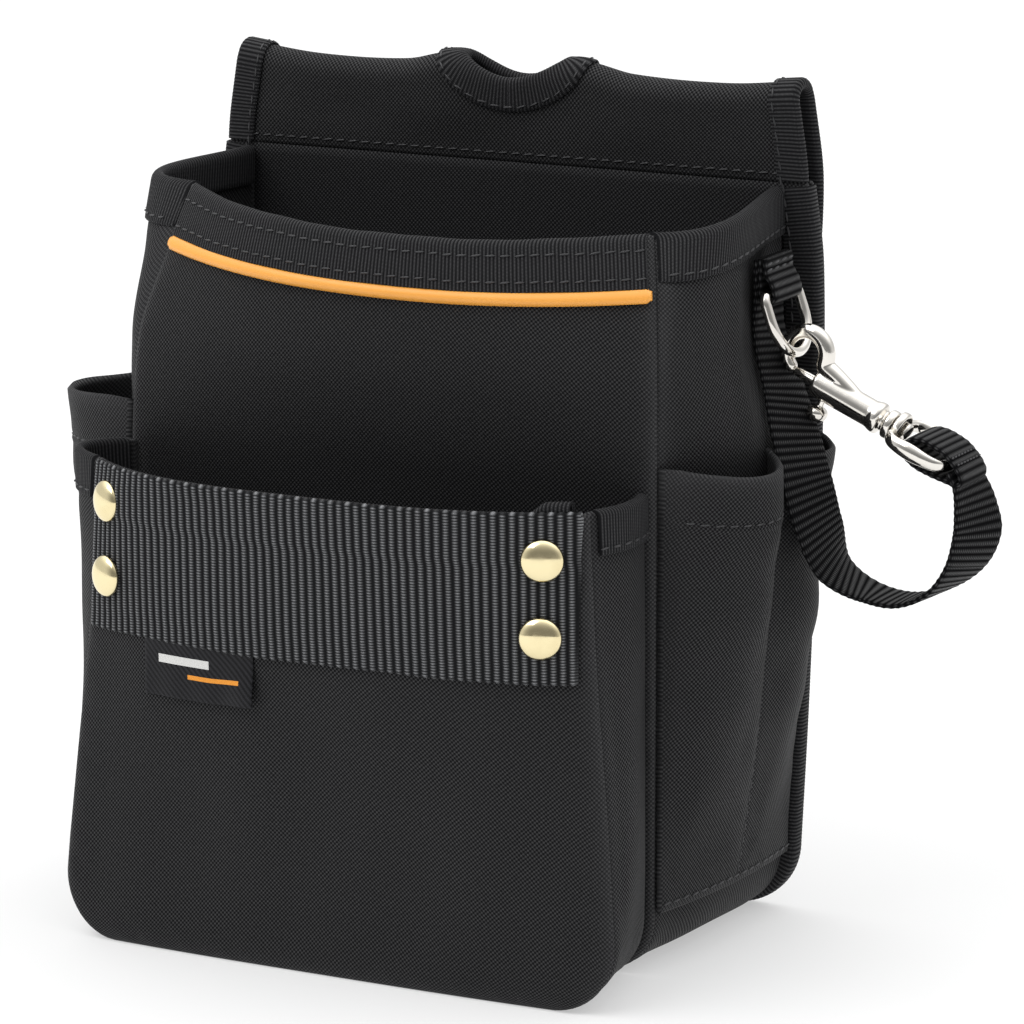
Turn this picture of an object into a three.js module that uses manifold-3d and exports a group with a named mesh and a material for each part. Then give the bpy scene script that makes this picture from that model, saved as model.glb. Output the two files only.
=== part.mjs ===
// Electrician's tool pouch: a two-compartment belt pouch of woven nylon with bound edges,
// two divided side pockets, a riveted webbing band and a snap hook on a D-ring.
//
// Millimetres, +Z up, +Y towards the wearer, +X to the pouch's own left-hand side.
// The origin is the centre of the main compartment's flat underside.
import * as THREE from "three";
import { mergeVertices } from "three/addons/utils/BufferGeometryUtils.js";
import Module from "manifold-3d";

const wasm = await Module();
wasm.setup();

// ---------------------------------------------------------------- driving dimensions
const GAP = 0.3; // clearance between pieces that touch
const FABRIC = 1.8; // double ply of coated nylon
const TAPE = 0.8; // binding tape, one ply
const WEBBING = 1.4; // heavy webbing

// main compartment
const MAIN_HEIGHT = 224; // top of its front corners
const MOUTH_DIP = 4; // how far the middle of the mouth hangs below the corners
const GUSSET_RISE = 5.5; // how far the gusset's back edge stands above its front edge
const MAIN_CORNER = 18; // round bottom corners of the front panel
const MAIN_TAPE = 15; // visible height of the mouth binding
const BACK_FACE = 40; // y of the back panel's inner face
const BACK_CORNER = 20; // round bottom corners of the back panel

// back panel, fold-over flap and belt tunnel
const FLAP_SEAM = 230; // height of the stitched seam where the flap begins
const FOLD_TOP = 260; // crown of the fold
const FLAP_PLY = 1.6;
const TUNNEL_DEPTH = 9.4; // clear depth between the flap's plies
const FLAP_END = 188; // lower edge of the flap behind the panel
const NOTCH_WIDTH = 38;
const NOTCH_DEPTH = 5.2;
const EDGE_TAPE = 10; // width of the tape along the flap's sides and notch

// front pouch
const POUCH_HEIGHT = 149.5;
const POUCH_CORNER = 20;
const POUCH_TAPE = 11;
const BAND_HEIGHT = 50;
const BAND_HALF_LENGTH = 82.5;

// rivets
const RIVET_X = 73;
const RIVET_DROPS = [12.5, 35.5]; // below the band's top edge
const RIVET_HEAD = 6.4; // radius of the domed head
const RIVET_SHANK = 1.8;
const RIVET_HOLE = 2.2;

// side pockets
const POCKET_BOTTOM = 20;
const POCKET_RIM = 156;
const POCKET_DIVIDER = 0.5; // share of the gusset's depth where the dividing seam runs
const POCKET_DIP = 4; // how far each section's rim sags

// D-ring, snap hook and hanging strap
const RING_BAR = [103.3, 18.5, 201]; // centre of the ring's straight bar
const RING_WIRE = 1.65; // radius
const RING_HALF_WIDTH = 11.75; // wire centre to wire centre, halved
const RING_DROP = 19.1; // bar centre to bow centre
const RING_TILT = 18.9; // degrees away from the pouch
const HOOK_DIP = 23.9; // degrees that the hook points below the horizontal
const BARREL_AXIS = -5.6; // barrel axis under the ring's wire, in the hook's frame
const STRAP_WIDTH = 19;
const STRAP_PLY = 1.2;

const rad = THREE.MathUtils.degToRad;

// ---------------------------------------------------------------- finishes
function finish(colour, roughness, metalness) {
  return new THREE.MeshStandardMaterial({ color: colour, roughness, metalness });
}
const NYLON = finish("#16171a", 0.85, 0);
const NYLON_LINING = finish("#121214", 0.9, 0);
const BINDING = finish("#101012", 0.7, 0);
const WEB = finish("#1b1c1f", 0.6, 0);
const PIPING = finish("#fdb03a", 0.45, 0);
const LABEL = finish("#141418", 0.7, 0);
const BOARD = finish("#2a2a2c", 0.6, 0);
const BRASS = finish("#d9c98a", 0.25, 1);
const NICKEL = finish("#c9c6bf", 0.15, 1);
const SPRING_STEEL = finish("#9a9a98", 0.35, 1);

// ---------------------------------------------------------------- small maths
// Smooth curve through [position, value] knots, flat outside them.
function profile(knots, at) {
  if (at <= knots[0][0]) return knots[0][1];
  const last = knots.length - 1;
  if (at >= knots[last][0]) return knots[last][1];
  let i = 0;
  while (knots[i + 1][0] < at) i += 1;
  const slope = (k) => {
    const a = knots[Math.max(k - 1, 0)];
    const b = knots[Math.min(k + 1, last)];
    return (b[1] - a[1]) / (b[0] - a[0]);
  };
  const [x0, y0] = knots[i];
  const [x1, y1] = knots[i + 1];
  const span = x1 - x0;
  const t = (at - x0) / span;
  const h00 = (1 + 2 * t) * (1 - t) ** 2;
  const h10 = t * (1 - t) ** 2;
  const h01 = t * t * (3 - 2 * t);
  const h11 = t * t * (t - 1);
  return h00 * y0 + h10 * span * slope(i) + h01 * y1 + h11 * span * slope(i + 1);
}

// A hump over 0..1 that peaks at 1 where a / (a + b) lies.
function hump(t, a, b) {
  const peak = a / (a + b);
  return (t ** a * (1 - t) ** b) / (peak ** a * (1 - peak) ** b);
}

// How far a round corner pulls an outline in at a height above its base.
function cornerCut(z, radius) {
  if (z >= radius) return 0;
  return radius - Math.sqrt(radius ** 2 - (radius - z) ** 2);
}

// Heights of a panel's rows, from its base: those of the strap sewn round its edge.
function panelRows(radius, heights) {
  const arc = ARC_ANGLES.map((degrees) => radius - radius * Math.sin(rad(degrees)));
  return [...heights, radius, ...arc].reverse().filter((z, i, all) => i === 0 || z > all[i - 1] + 0.01);
}

function steps(from, to, count) {
  return Array.from({ length: count + 1 }, (_, i) => from + ((to - from) * i) / count);
}

// ---------------------------------------------------------------- closed solids
function closedGeometry(points, triangles) {
  let volume = 0;
  for (const [a, b, c] of triangles) {
    volume += points[a].dot(new THREE.Vector3().crossVectors(points[b], points[c]));
  }
  const outward = volume < 0 ? triangles.map(([a, b, c]) => [a, c, b]) : triangles;
  const geometry = new THREE.BufferGeometry();
  const flat = points.flatMap((p) => [p.x, p.y, p.z]);
  geometry.setAttribute("position", new THREE.Float32BufferAttribute(flat, 3));
  geometry.setIndex(outward.flat());
  return geometry;
}

// Joins matching rings of points into a solid, with end caps unless it closes on itself.
function loft(rings, { closed = false, cap = null } = {}) {
  const size = rings[0].length;
  const points = rings.flat();
  const triangles = [];
  const spans = closed ? rings.length : rings.length - 1;
  for (let i = 0; i < spans; i += 1) {
    const here = i * size;
    const next = ((i + 1) % rings.length) * size;
    for (let j = 0; j < size; j += 1) {
      const k = (j + 1) % size;
      triangles.push([here + j, here + k, next + k], [here + j, next + k, next + j]);
    }
  }
  if (!closed) {
    const lid = cap ?? fan(size);
    const end = (rings.length - 1) * size;
    for (const [a, b, c] of lid) triangles.push([a, c, b], [end + a, end + b, end + c]);
  }
  return closedGeometry(points, triangles);
}

function fan(size) {
  return Array.from({ length: size - 2 }, (_, i) => [0, i + 1, i + 2]);
}

// A sheet with thickness: outer(i, j) and inner(i, j) give its two faces.
function sheet(rows, columns, outer, inner) {
  const points = [];
  const index = (side, i, j) => (side * rows + i) * columns + j;
  for (const face of [outer, inner]) {
    for (let i = 0; i < rows; i += 1) {
      for (let j = 0; j < columns; j += 1) points.push(face(i, j));
    }
  }
  const triangles = [];
  const quad = (a, b, c, d) => triangles.push([a, b, c], [a, c, d]);
  for (let i = 0; i < rows - 1; i += 1) {
    for (let j = 0; j < columns - 1; j += 1) {
      quad(index(0, i, j), index(0, i, j + 1), index(0, i + 1, j + 1), index(0, i + 1, j));
      quad(index(1, i, j), index(1, i + 1, j), index(1, i + 1, j + 1), index(1, i, j + 1));
    }
  }
  for (let i = 0; i < rows - 1; i += 1) {
    const end = columns - 1;
    quad(index(0, i, 0), index(0, i + 1, 0), index(1, i + 1, 0), index(1, i, 0));
    quad(index(0, i, end), index(1, i, end), index(1, i + 1, end), index(0, i + 1, end));
  }
  for (let j = 0; j < columns - 1; j += 1) {
    const end = rows - 1;
    quad(index(0, 0, j), index(1, 0, j), index(1, 0, j + 1), index(0, 0, j + 1));
    quad(index(0, end, j), index(0, end, j + 1), index(1, end, j + 1), index(1, end, j));
  }
  return closedGeometry(points, triangles);
}

function toSolid(geometry) {
  const bare = geometry.clone();
  bare.deleteAttribute("normal");
  bare.deleteAttribute("uv");
  const merged = mergeVertices(bare, 1e-4);
  const vertProperties = new Float32Array(merged.attributes.position.array);
  const triVerts = new Uint32Array(merged.index.array);
  return new wasm.Manifold(new wasm.Mesh({ numProp: 3, vertProperties, triVerts }));
}

function fromSolid(solid) {
  const mesh = solid.getMesh();
  const geometry = new THREE.BufferGeometry();
  geometry.setAttribute("position", new THREE.BufferAttribute(new Float32Array(mesh.vertProperties), 3));
  geometry.setIndex(new THREE.BufferAttribute(new Uint32Array(mesh.triVerts), 1));
  return geometry;
}

function join(...geometries) {
  return fromSolid(geometries.map(toSolid).reduce((a, b) => a.add(b)));
}

function cut(geometry, ...tools) {
  return fromSolid(tools.map(toSolid).reduce((a, b) => a.subtract(b), toSolid(geometry)));
}

function common(a, b) {
  return fromSolid(toSolid(a).intersect(toSolid(b)));
}

// A cylinder whose axis runs from one point along a direction.
function rod(start, direction, length, radius, sides = 12) {
  const geometry = new THREE.CylinderGeometry(radius, radius, length, sides);
  geometry.translate(0, length / 2, 0);
  const turn = new THREE.Quaternion().setFromUnitVectors(new THREE.Vector3(0, 1, 0), direction);
  geometry.applyQuaternion(turn);
  geometry.translate(start.x, start.y, start.z);
  return geometry;
}

// Heights of the stations down each side of a sewn-in strip, and angles round its corners.
const SIDE_HEIGHTS = [224, 216.5, 209, 203, 195, 182, 165, 150, 130, 105, 80, 50, 20];
const POUCH_SIDE_HEIGHTS = [149.5, 144, 138.5, 125, 112, 99.5, 75, 45, 20];
const ARC_ANGLES = [22.5, 45, 67.5, 90];

// ---------------------------------------------------------------- main front panel
const MAIN_HALF_WIDTH = [[18, 90], [100, 90], [178, 90], [207, 85.5], [224, 80]];
const MAIN_CORNER_Y = [[0, -41], [100, -40.5], [178, -40], [207, -31.5], [224, -22]];
const MAIN_BULGE = [[0, 1], [60, 4], [150, 8], [180, 12], [206, 20], [224, 26]];

const mainHalfWidth = (z) => profile(MAIN_HALF_WIDTH, z) - cornerCut(z, MAIN_CORNER);
const mainCornerY = (z) => profile(MAIN_CORNER_Y, z);

// Outer face of the main front panel at u = -1..1 across and height z before the mouth's dip.
function mainFront(u, z) {
  const y = mainCornerY(z) - profile(MAIN_BULGE, z) * (1 - Math.abs(u) ** 2.4);
  const dip = (MOUTH_DIP * (1 - u * u) * z) / MAIN_HEIGHT;
  return new THREE.Vector3(u * mainHalfWidth(z), y, z - dip);
}

function mainFrontPanel() {
  const across = steps(-1, 1, 16);
  const top = MAIN_HEIGHT - TAPE - GAP;
  const rows = panelRows(MAIN_CORNER, SIDE_HEIGHTS).map((z) => Math.min(z, top));
  const face = (offset) => (i, j) => {
    const p = mainFront(across[j], rows[i]);
    p.y += offset;
    return p;
  };
  return sheet(rows.length, across.length, face(0), face(FABRIC));
}

// ---------------------------------------------------------------- main gusset
const ATTACH_HALF_WIDTH = [[20, 96], [150, 96], [190, 95], [230, 94]];
const GUSSET_BULGE = [[0, 0], [60, 9], [110, 13], [150, 14], [180, 9], [200, 9], [224, 12]];

// One station of a U-shaped strip: a point of its outline and the way it faces.
function strapU(halfWidth, radius, heights, floorSteps) {
  const centre = halfWidth(radius) - radius;
  const side = heights.map((z) => ({ x: halfWidth(z), z, nx: 1, nz: 0 }));
  const arc = ARC_ANGLES.map((degrees) => {
    const c = Math.cos(rad(degrees));
    const s = Math.sin(rad(degrees));
    return { x: centre + radius * c, z: radius - radius * s, nx: c, nz: -s };
  });
  const floor = steps(centre, 0, floorSteps)
    .slice(1)
    .map((x) => ({ x, z: 0, nx: 0, nz: -1 }));
  const half = [...side, ...arc, ...floor];
  const mirrored = half
    .slice(0, -1)
    .reverse()
    .map((p) => ({ x: -p.x, z: p.z, nx: -p.nx, nz: p.nz }));
  return [...half, ...mirrored];
}

const mainFrontOutline = strapU(mainHalfWidth, MAIN_CORNER, SIDE_HEIGHTS, 2);
const mainBackOutline = strapU((z) => profile(ATTACH_HALF_WIDTH, z), BACK_CORNER, SIDE_HEIGHTS, 2);

// The gusset's back edge climbs above its front edge near the mouth.
const gussetLift = (z) => GUSSET_RISE * THREE.MathUtils.smoothstep(z, 180, MAIN_HEIGHT);

function gussetHump(t, z) {
  const towardsMouth = THREE.MathUtils.smoothstep(z, 150, 200);
  return hump(t, 1 - 0.5 * towardsMouth, 1 + 0.5 * towardsMouth);
}

// Outer face of the main gusset at station k of its U and t = 0..1 from front to back.
function mainGussetPoint(k, t, inset) {
  const a = mainFrontOutline[k];
  const b = mainBackOutline[k];
  const bulge = profile(GUSSET_BULGE, a.z) * gussetHump(t, a.z) * Math.abs(a.nx);
  const y0 = mainCornerY(a.z) + FABRIC + GAP;
  const y1 = BACK_FACE - GAP;
  const out = bulge - inset;
  return new THREE.Vector3(
    a.x + (b.x - a.x) * t + a.nx * out,
    y0 + (y1 - y0) * t,
    a.z + (b.z + gussetLift(b.z) - a.z) * t + a.nz * out,
  );
}

// Outer x of the gusset's side wall at a height and a share t of its depth.
function gussetSideX(z, t) {
  const a = mainHalfWidth(z);
  const b = profile(ATTACH_HALF_WIDTH, z);
  return a + (b - a) * t + profile(GUSSET_BULGE, z) * gussetHump(t, z);
}

const GUSSET_DEPTHS = [0, 0.05, 0.1, 0.17, 0.26, 0.38, 0.5, 0.62, 0.75, 0.88, 0.96, 1];

function mainGusset() {
  const last = mainFrontOutline.length - 1;
  const face = (inset) => (i, j) => {
    const p = mainGussetPoint(i, GUSSET_DEPTHS[j], inset);
    if (i === 0 || i === last) p.z -= TAPE + GAP;
    return p;
  };
  return sheet(last + 1, GUSSET_DEPTHS.length, face(0), face(FABRIC));
}

// ---------------------------------------------------------------- binding tape
// An upside-down U of tape over an edge. face(i, drop) is the bound panel's outer face at
// station i, a drop below its top edge, and out is the level direction of its thickness.
// The tape stands off the panel by a slack, which is larger where the panel curves sharply.
function binding(count, face, out, drop, slack = GAP) {
  const outer = slack + TAPE;
  const through = FABRIC + slack;
  const inner = drop - 2;
  const shape = [
    [outer, drop],
    [outer, drop / 2],
    [outer, 0],
    [-through - TAPE, 0],
    [-through - TAPE, inner / 2],
    [-through - TAPE, inner],
    [-through, inner],
    [-through, inner / 2],
    [-through, TAPE],
    [slack, TAPE],
    [slack, drop / 2],
    [slack, drop],
  ];
  const cap = THREE.ShapeUtils.triangulateShape(
    shape.map(([away, down]) => new THREE.Vector2(away, -down)),
    [],
  );
  const rings = Array.from({ length: count }, (_, i) =>
    shape.map(([away, down]) => face(i, down).addScaledVector(out, away)),
  );
  return loft(rings, { cap });
}

const FORWARD = new THREE.Vector3(0, -1, 0);

function mainMouthTape() {
  const reach = 0.95;
  const across = steps(-1, 1, 16).map((u) => THREE.MathUtils.clamp(u, -reach, reach));
  const face = (i, drop) => mainFront(across[i], MAIN_HEIGHT - drop);
  return binding(across.length, face, FORWARD, MAIN_TAPE, 0.5);
}

const GUSSET_TAPE = 13; // visible height of the tape on the gussets' tops

function mainGussetTape(side) {
  const depths = GUSSET_DEPTHS.slice(2, -1);
  const face = (i, drop) => {
    const z = MAIN_HEIGHT - drop;
    const y0 = mainCornerY(z) + FABRIC + GAP;
    const y = y0 + (BACK_FACE - GAP - y0) * depths[i];
    return new THREE.Vector3(side * gussetSideX(z, depths[i]), y, z + gussetLift(z) * depths[i]);
  };
  return binding(depths.length, face, new THREE.Vector3(side, 0, 0), GUSSET_TAPE, 0.9);
}

// ---------------------------------------------------------------- piping
const PIPING_HEIGHT = 205.5;

function orangePiping() {
  const shape = [[0.4, -2], [1.5, -1.9], [2.1, -0.8], [2.1, 0.8], [1.5, 1.9], [0.4, 2]];
  const rings = steps(-0.985, 0.985, 22).map((u) =>
    shape.map(([away, up]) => mainFront(u, PIPING_HEIGHT + up).addScaledVector(FORWARD, away)),
  );
  return loft(rings);
}

// ---------------------------------------------------------------- front pouch
const POUCH_HALF_WIDTH = [[20, 92], [60, 89.5], [100, 86.5], [149.5, 83]];
const POUCH_CORNER_Y = [[0, -84], [22, -81.5], [80, -78], [149.5, -75]];
const POUCH_BULGE = [[0, 1.5], [30, 4.5], [60, 8.5], [100, 14.5], [149.5, 19.5]];
const POUCH_ACROSS = steps(-1, 1, 18);

const pouchHalfWidth = (z) => profile(POUCH_HALF_WIDTH, z) - cornerCut(z, POUCH_CORNER);
const pouchCornerY = (z) => profile(POUCH_CORNER_Y, z);

function pouchFront(u, z) {
  const y = pouchCornerY(z) - profile(POUCH_BULGE, z) * (1 - Math.abs(u) ** 3);
  return new THREE.Vector3(u * pouchHalfWidth(z), y, z);
}

// Front face at a distance x from the middle rather than a share of the width.
function pouchFrontAt(x, z) {
  return pouchFront(x / pouchHalfWidth(z), z);
}

function frontPouchPanel() {
  const top = POUCH_HEIGHT - TAPE - GAP;
  const rows = panelRows(POUCH_CORNER, POUCH_SIDE_HEIGHTS).map((z) => Math.min(z, top));
  const face = (offset) => (i, j) => {
    const p = pouchFront(POUCH_ACROSS[j], rows[i]);
    p.y += offset;
    return p;
  };
  return sheet(rows.length, POUCH_ACROSS.length, face(0), face(FABRIC));
}

const pouchFrontOutline = strapU(pouchHalfWidth, POUCH_CORNER, POUCH_SIDE_HEIGHTS, 2);
const POUCH_ATTACH = 88.5; // half-width of the seam where its gusset meets the main front
const pouchBackOutline = strapU(() => POUCH_ATTACH, POUCH_CORNER, POUCH_SIDE_HEIGHTS, 2);
const POUCH_GUSSET_BULGE = [[0, 0], [40, 3], [149.5, 3.5]];
const POUCH_DEPTHS = [0, 0.08, 0.25, 0.5, 0.75, 0.94, 1];

function pouchGussetPoint(k, t, inset) {
  const a = pouchFrontOutline[k];
  const b = pouchBackOutline[k];
  const y0 = pouchCornerY(a.z) + FABRIC + GAP;
  const y1 = mainCornerY(b.z) - 1.7;
  const out = profile(POUCH_GUSSET_BULGE, a.z) * hump(t, 1, 1) * Math.abs(a.nx) - inset;
  return new THREE.Vector3(
    a.x + (b.x - a.x) * t + a.nx * out,
    y0 + (y1 - y0) * t,
    a.z + (b.z - a.z) * t + a.nz * out,
  );
}

// The same face on the side wall, at any height.
function pouchGussetSide(z, t) {
  const x = pouchHalfWidth(z) + (POUCH_ATTACH - pouchHalfWidth(z)) * t;
  const y0 = pouchCornerY(z) + FABRIC + GAP;
  const out = profile(POUCH_GUSSET_BULGE, z) * hump(t, 1, 1);
  return new THREE.Vector3(x + out, y0 + (mainCornerY(z) - 1.7 - y0) * t, z);
}

function frontPouchGusset() {
  const last = pouchFrontOutline.length - 1;
  const face = (inset) => (i, j) => {
    const p = pouchGussetPoint(i, POUCH_DEPTHS[j], inset);
    if (i === 0 || i === last) p.z -= TAPE + GAP;
    return p;
  };
  return sheet(last + 1, POUCH_DEPTHS.length, face(0), face(FABRIC));
}

function pouchMouthTape() {
  const reach = 0.955;
  const across = POUCH_ACROSS.map((u) => THREE.MathUtils.clamp(u, -reach, reach));
  const face = (i, drop) => pouchFront(across[i], POUCH_HEIGHT - drop);
  return binding(across.length, face, FORWARD, POUCH_TAPE);
}

function pouchGussetTape(side) {
  const depths = [0.08, 0.25, 0.5, 0.75, 0.94];
  const face = (i, drop) => {
    const p = pouchGussetSide(POUCH_HEIGHT - drop, depths[i]);
    p.x *= side;
    return p;
  };
  return binding(depths.length, face, new THREE.Vector3(side, 0, 0), GUSSET_TAPE);
}

// ---------------------------------------------------------------- webbing band
const BAND_REST = GAP + TAPE + 0.4; // the band lies over the mouth tape

function webbingBand() {
  const across = POUCH_ACROSS.map((u) => u * BAND_HALF_LENGTH);
  const heights = POUCH_SIDE_HEIGHTS.filter((z) => z >= POUCH_HEIGHT - BAND_HEIGHT);
  const face = (away) => (i, j) => {
    const p = pouchFrontAt(across[j], heights[i]);
    p.y -= away;
    return p;
  };
  return sheet(heights.length, across.length, face(BAND_REST + WEBBING), face(BAND_REST));
}

function labelTag() {
  const top = POUCH_HEIGHT - BAND_HEIGHT + 4;
  const heights = [top, top - 10.8, top - 21.5];
  const across = [-58, -47.9, -37.8, -27.6, -17.5];
  const face = (away) => (i, j) => {
    const p = pouchFrontAt(across[j], heights[i]);
    p.y -= away;
    return p;
  };
  return sheet(heights.length, across.length, face(GAP + 0.7), face(GAP));
}

// ---------------------------------------------------------------- rivets
// The seat of a rivet: the point on the panel's face and the way the face looks.
function rivetSeat(x, z) {
  const step = 0.5;
  const along = pouchFrontAt(x + step, z).sub(pouchFrontAt(x - step, z));
  const up = pouchFrontAt(x, z + step).sub(pouchFrontAt(x, z - step));
  const normal = new THREE.Vector3().crossVectors(along, up).normalize();
  if (normal.y > 0) normal.negate();
  return { point: pouchFrontAt(x, z), normal };
}

const RIVETS = [-RIVET_X, RIVET_X].flatMap((x) =>
  RIVET_DROPS.map((drop, row) => ({
    name: `${x < 0 ? "right" : "left"}_${row === 0 ? "upper" : "lower"}`,
    ...rivetSeat(x, POUCH_HEIGHT - drop),
  })),
);

function rivetHoles() {
  return RIVETS.map(({ point, normal }) => {
    const start = point.clone().addScaledVector(normal, -8);
    return rod(start, normal, 16, RIVET_HOLE);
  });
}

// A turned piece whose axis (its own +Z) points along a rivet's normal.
function turnedOn(outline, seat, sides) {
  const geometry = new THREE.LatheGeometry(
    outline.map(([r, h]) => new THREE.Vector2(r, h)),
    sides,
  );
  const turn = new THREE.Quaternion().setFromUnitVectors(new THREE.Vector3(0, 1, 0), seat.normal);
  geometry.applyQuaternion(turn);
  geometry.translate(seat.point.x, seat.point.y, seat.point.z);
  return geometry;
}

function rivetCap(seat) {
  const under = BAND_REST + WEBBING + GAP;
  const dome = [[RIVET_HEAD, under], [6.1, under + 0.9], [4.9, under + 1.8], [2.7, under + 2.4], [0, under + 2.6]];
  const outline = [[0, -4.6], [RIVET_SHANK, -4.6], [RIVET_SHANK, under], ...dome];
  return turnedOn(outline, seat, 18);
}

function rivetWasher(seat) {
  const face = -FABRIC - TAPE - 3 * GAP;
  const outline = [[2.1, face - 1.2], [5.2, face - 1.2], [5.2, face], [2.1, face], [2.1, face - 1.2]];
  return turnedOn(outline, seat, 14);
}

// ---------------------------------------------------------------- side pockets
const POCKET_REACH = [[20, 0], [36, 0.4], [156, 13.5]];

// How far a pocket stands off the gusset: two swells either side of the dividing seam.
function pocketSwell(t, z) {
  const reach = profile(POCKET_REACH, z);
  if (t <= POCKET_DIVIDER) return reach * hump(t / POCKET_DIVIDER, 0.55, 0.8);
  return reach * hump((t - POCKET_DIVIDER) / (1 - POCKET_DIVIDER), 1.1, 0.55);
}

const POCKET_DEPTHS = [0, 0.03, 0.08, 0.15, 0.25, 0.35, 0.43, 0.5, 0.58, 0.66, 0.75, 0.84, 0.91, 0.96, 0.99];
const POCKET_HEIGHTS = [POCKET_BOTTOM, 36, 60, 90, 120, 143, POCKET_RIM];

function pocketPoint(side, t, z, inset) {
  const share = (z - POCKET_BOTTOM) / (POCKET_RIM - POCKET_BOTTOM);
  const section = t <= POCKET_DIVIDER ? t / POCKET_DIVIDER : (t - POCKET_DIVIDER) / (1 - POCKET_DIVIDER);
  const sag = POCKET_DIP * hump(section, 0.6, 0.6) * share ** 3;
  const y0 = mainCornerY(z) + FABRIC + GAP;
  const y = y0 + (BACK_FACE - GAP - y0) * t;
  const x = gussetSideX(z, t) + 0.6 + FABRIC - inset + pocketSwell(t, z);
  return new THREE.Vector3(side * x, y, z - sag);
}

function sidePocket(side) {
  const face = (inset) => (i, j) => pocketPoint(side, POCKET_DEPTHS[j], POCKET_HEIGHTS[i], inset);
  return sheet(POCKET_HEIGHTS.length, POCKET_DEPTHS.length, face(0), face(FABRIC));
}

// ---------------------------------------------------------------- back panels
const BACK_HALF_WIDTH = [[20, 99], [60, 101], [110, 103], [150, 105], [205, 105], [230, 102]];
const BACK_LIFT = 1.5; // the back panels end above the underside, inside their edge tape
const BOARD_PLY = 1.2;

// Flat panel with round bottom corners, between two heights, standing on the back plane.
function backPlate(y, thickness, bottom, top, narrower) {
  const radius = BACK_CORNER - narrower;
  const half = (z) => profile(BACK_HALF_WIDTH, z) - narrower;
  const centre = half(bottom + radius) - radius;
  const heights = [top, 205, 150, 110, 60].filter((z) => z <= top);
  const arc = steps(0, 90, 5).map((degrees) => [
    centre + radius * Math.cos(rad(degrees)),
    bottom + radius - radius * Math.sin(rad(degrees)),
  ]);
  const right = [...heights.map((z) => [half(z), z]), ...arc];
  const outline = [...right, ...right.map(([x, z]) => [-x, z]).reverse()];
  const shape = new THREE.Shape(outline.map(([x, z]) => new THREE.Vector2(x, z)));
  const geometry = new THREE.ExtrudeGeometry(shape, { depth: thickness, bevelEnabled: false });
  geometry.rotateX(Math.PI / 2);
  geometry.translate(0, y + thickness, 0);
  return geometry;
}

const BOARD_Y = BACK_FACE + FLAP_PLY + GAP;
const OUTER_Y = BOARD_Y + BOARD_PLY + GAP;
const OUTER_BACK = OUTER_Y + FLAP_PLY;

// Centre line of the flap seen from the side, from the seam over the fold to its sewn end.
const flapMid = BACK_FACE + FLAP_PLY / 2;
const foldRadius = (TUNNEL_DEPTH + FLAP_PLY) / 2;
const flapPath = [
  [flapMid, FLAP_SEAM + GAP],
  [flapMid, 242],
  ...steps(180, 0, 8).map((degrees) => [
    flapMid + foldRadius + foldRadius * Math.cos(rad(degrees)),
    FOLD_TOP - foldRadius - FLAP_PLY / 2 + foldRadius * Math.sin(rad(degrees)),
  ]),
  [flapMid + 2 * foldRadius, 222],
  [flapMid + 2 * foldRadius, 203],
  [OUTER_BACK + GAP + FLAP_PLY / 2, 195],
  [OUTER_BACK + GAP + FLAP_PLY / 2, FLAP_END],
];

// The flap's path with its outward direction at each point.
const flapStations = flapPath.map(([y, z], i) => {
  const before = flapPath[Math.max(i - 1, 0)];
  const after = flapPath[Math.min(i + 1, flapPath.length - 1)];
  const along = new THREE.Vector2(after[0] - before[0], after[1] - before[1]).normalize();
  return { y, z, ny: -along.y, nz: along.x };
});

// A strip that follows the flap between two distances across and two offsets from its middle.
function flapStrip(across, near, far, stations = flapStations) {
  const rings = stations.map((s) => {
    const [x0, x1] = across(s.z);
    const at = (x, off) => new THREE.Vector3(x, s.y + s.ny * off, s.z + s.nz * off);
    return [at(x0, near), at(x1, near), at(x1, far), at(x0, far)];
  });
  return loft(rings);
}

const flapHalfWidth = (z) => profile([[188, 100], [230, 102], [256, 98.5]], z);
const notchRadius = ((NOTCH_WIDTH / 2) ** 2 + NOTCH_DEPTH ** 2) / (2 * NOTCH_DEPTH);
const notchCentre = FOLD_TOP - NOTCH_DEPTH + notchRadius;

// A round bar across the flap, centred on the notch's arc.
function notchBar(radius) {
  const start = new THREE.Vector3(0, BACK_FACE - 15, notchCentre);
  return rod(start, new THREE.Vector3(0, 1, 0), 45, radius, 64);
}

function beltFlap() {
  const half = FLAP_PLY / 2;
  const whole = flapStrip((z) => [-flapHalfWidth(z), flapHalfWidth(z)], -half, half);
  return cut(whole, notchBar(notchRadius));
}

function notchTape() {
  const near = FLAP_PLY / 2 + GAP;
  const stations = flapStations.slice(1, 12);
  const whole = flapStrip(() => [-45, 45], near, near + TAPE, stations);
  return common(cut(whole, notchBar(notchRadius)), notchBar(notchRadius + EDGE_TAPE));
}

function flapEdgeTape(side) {
  const near = FLAP_PLY / 2 + GAP;
  const across = (z) => [side * (flapHalfWidth(z) - EDGE_TAPE), side * flapHalfWidth(z)];
  return flapStrip(across, near, near + TAPE);
}

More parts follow.
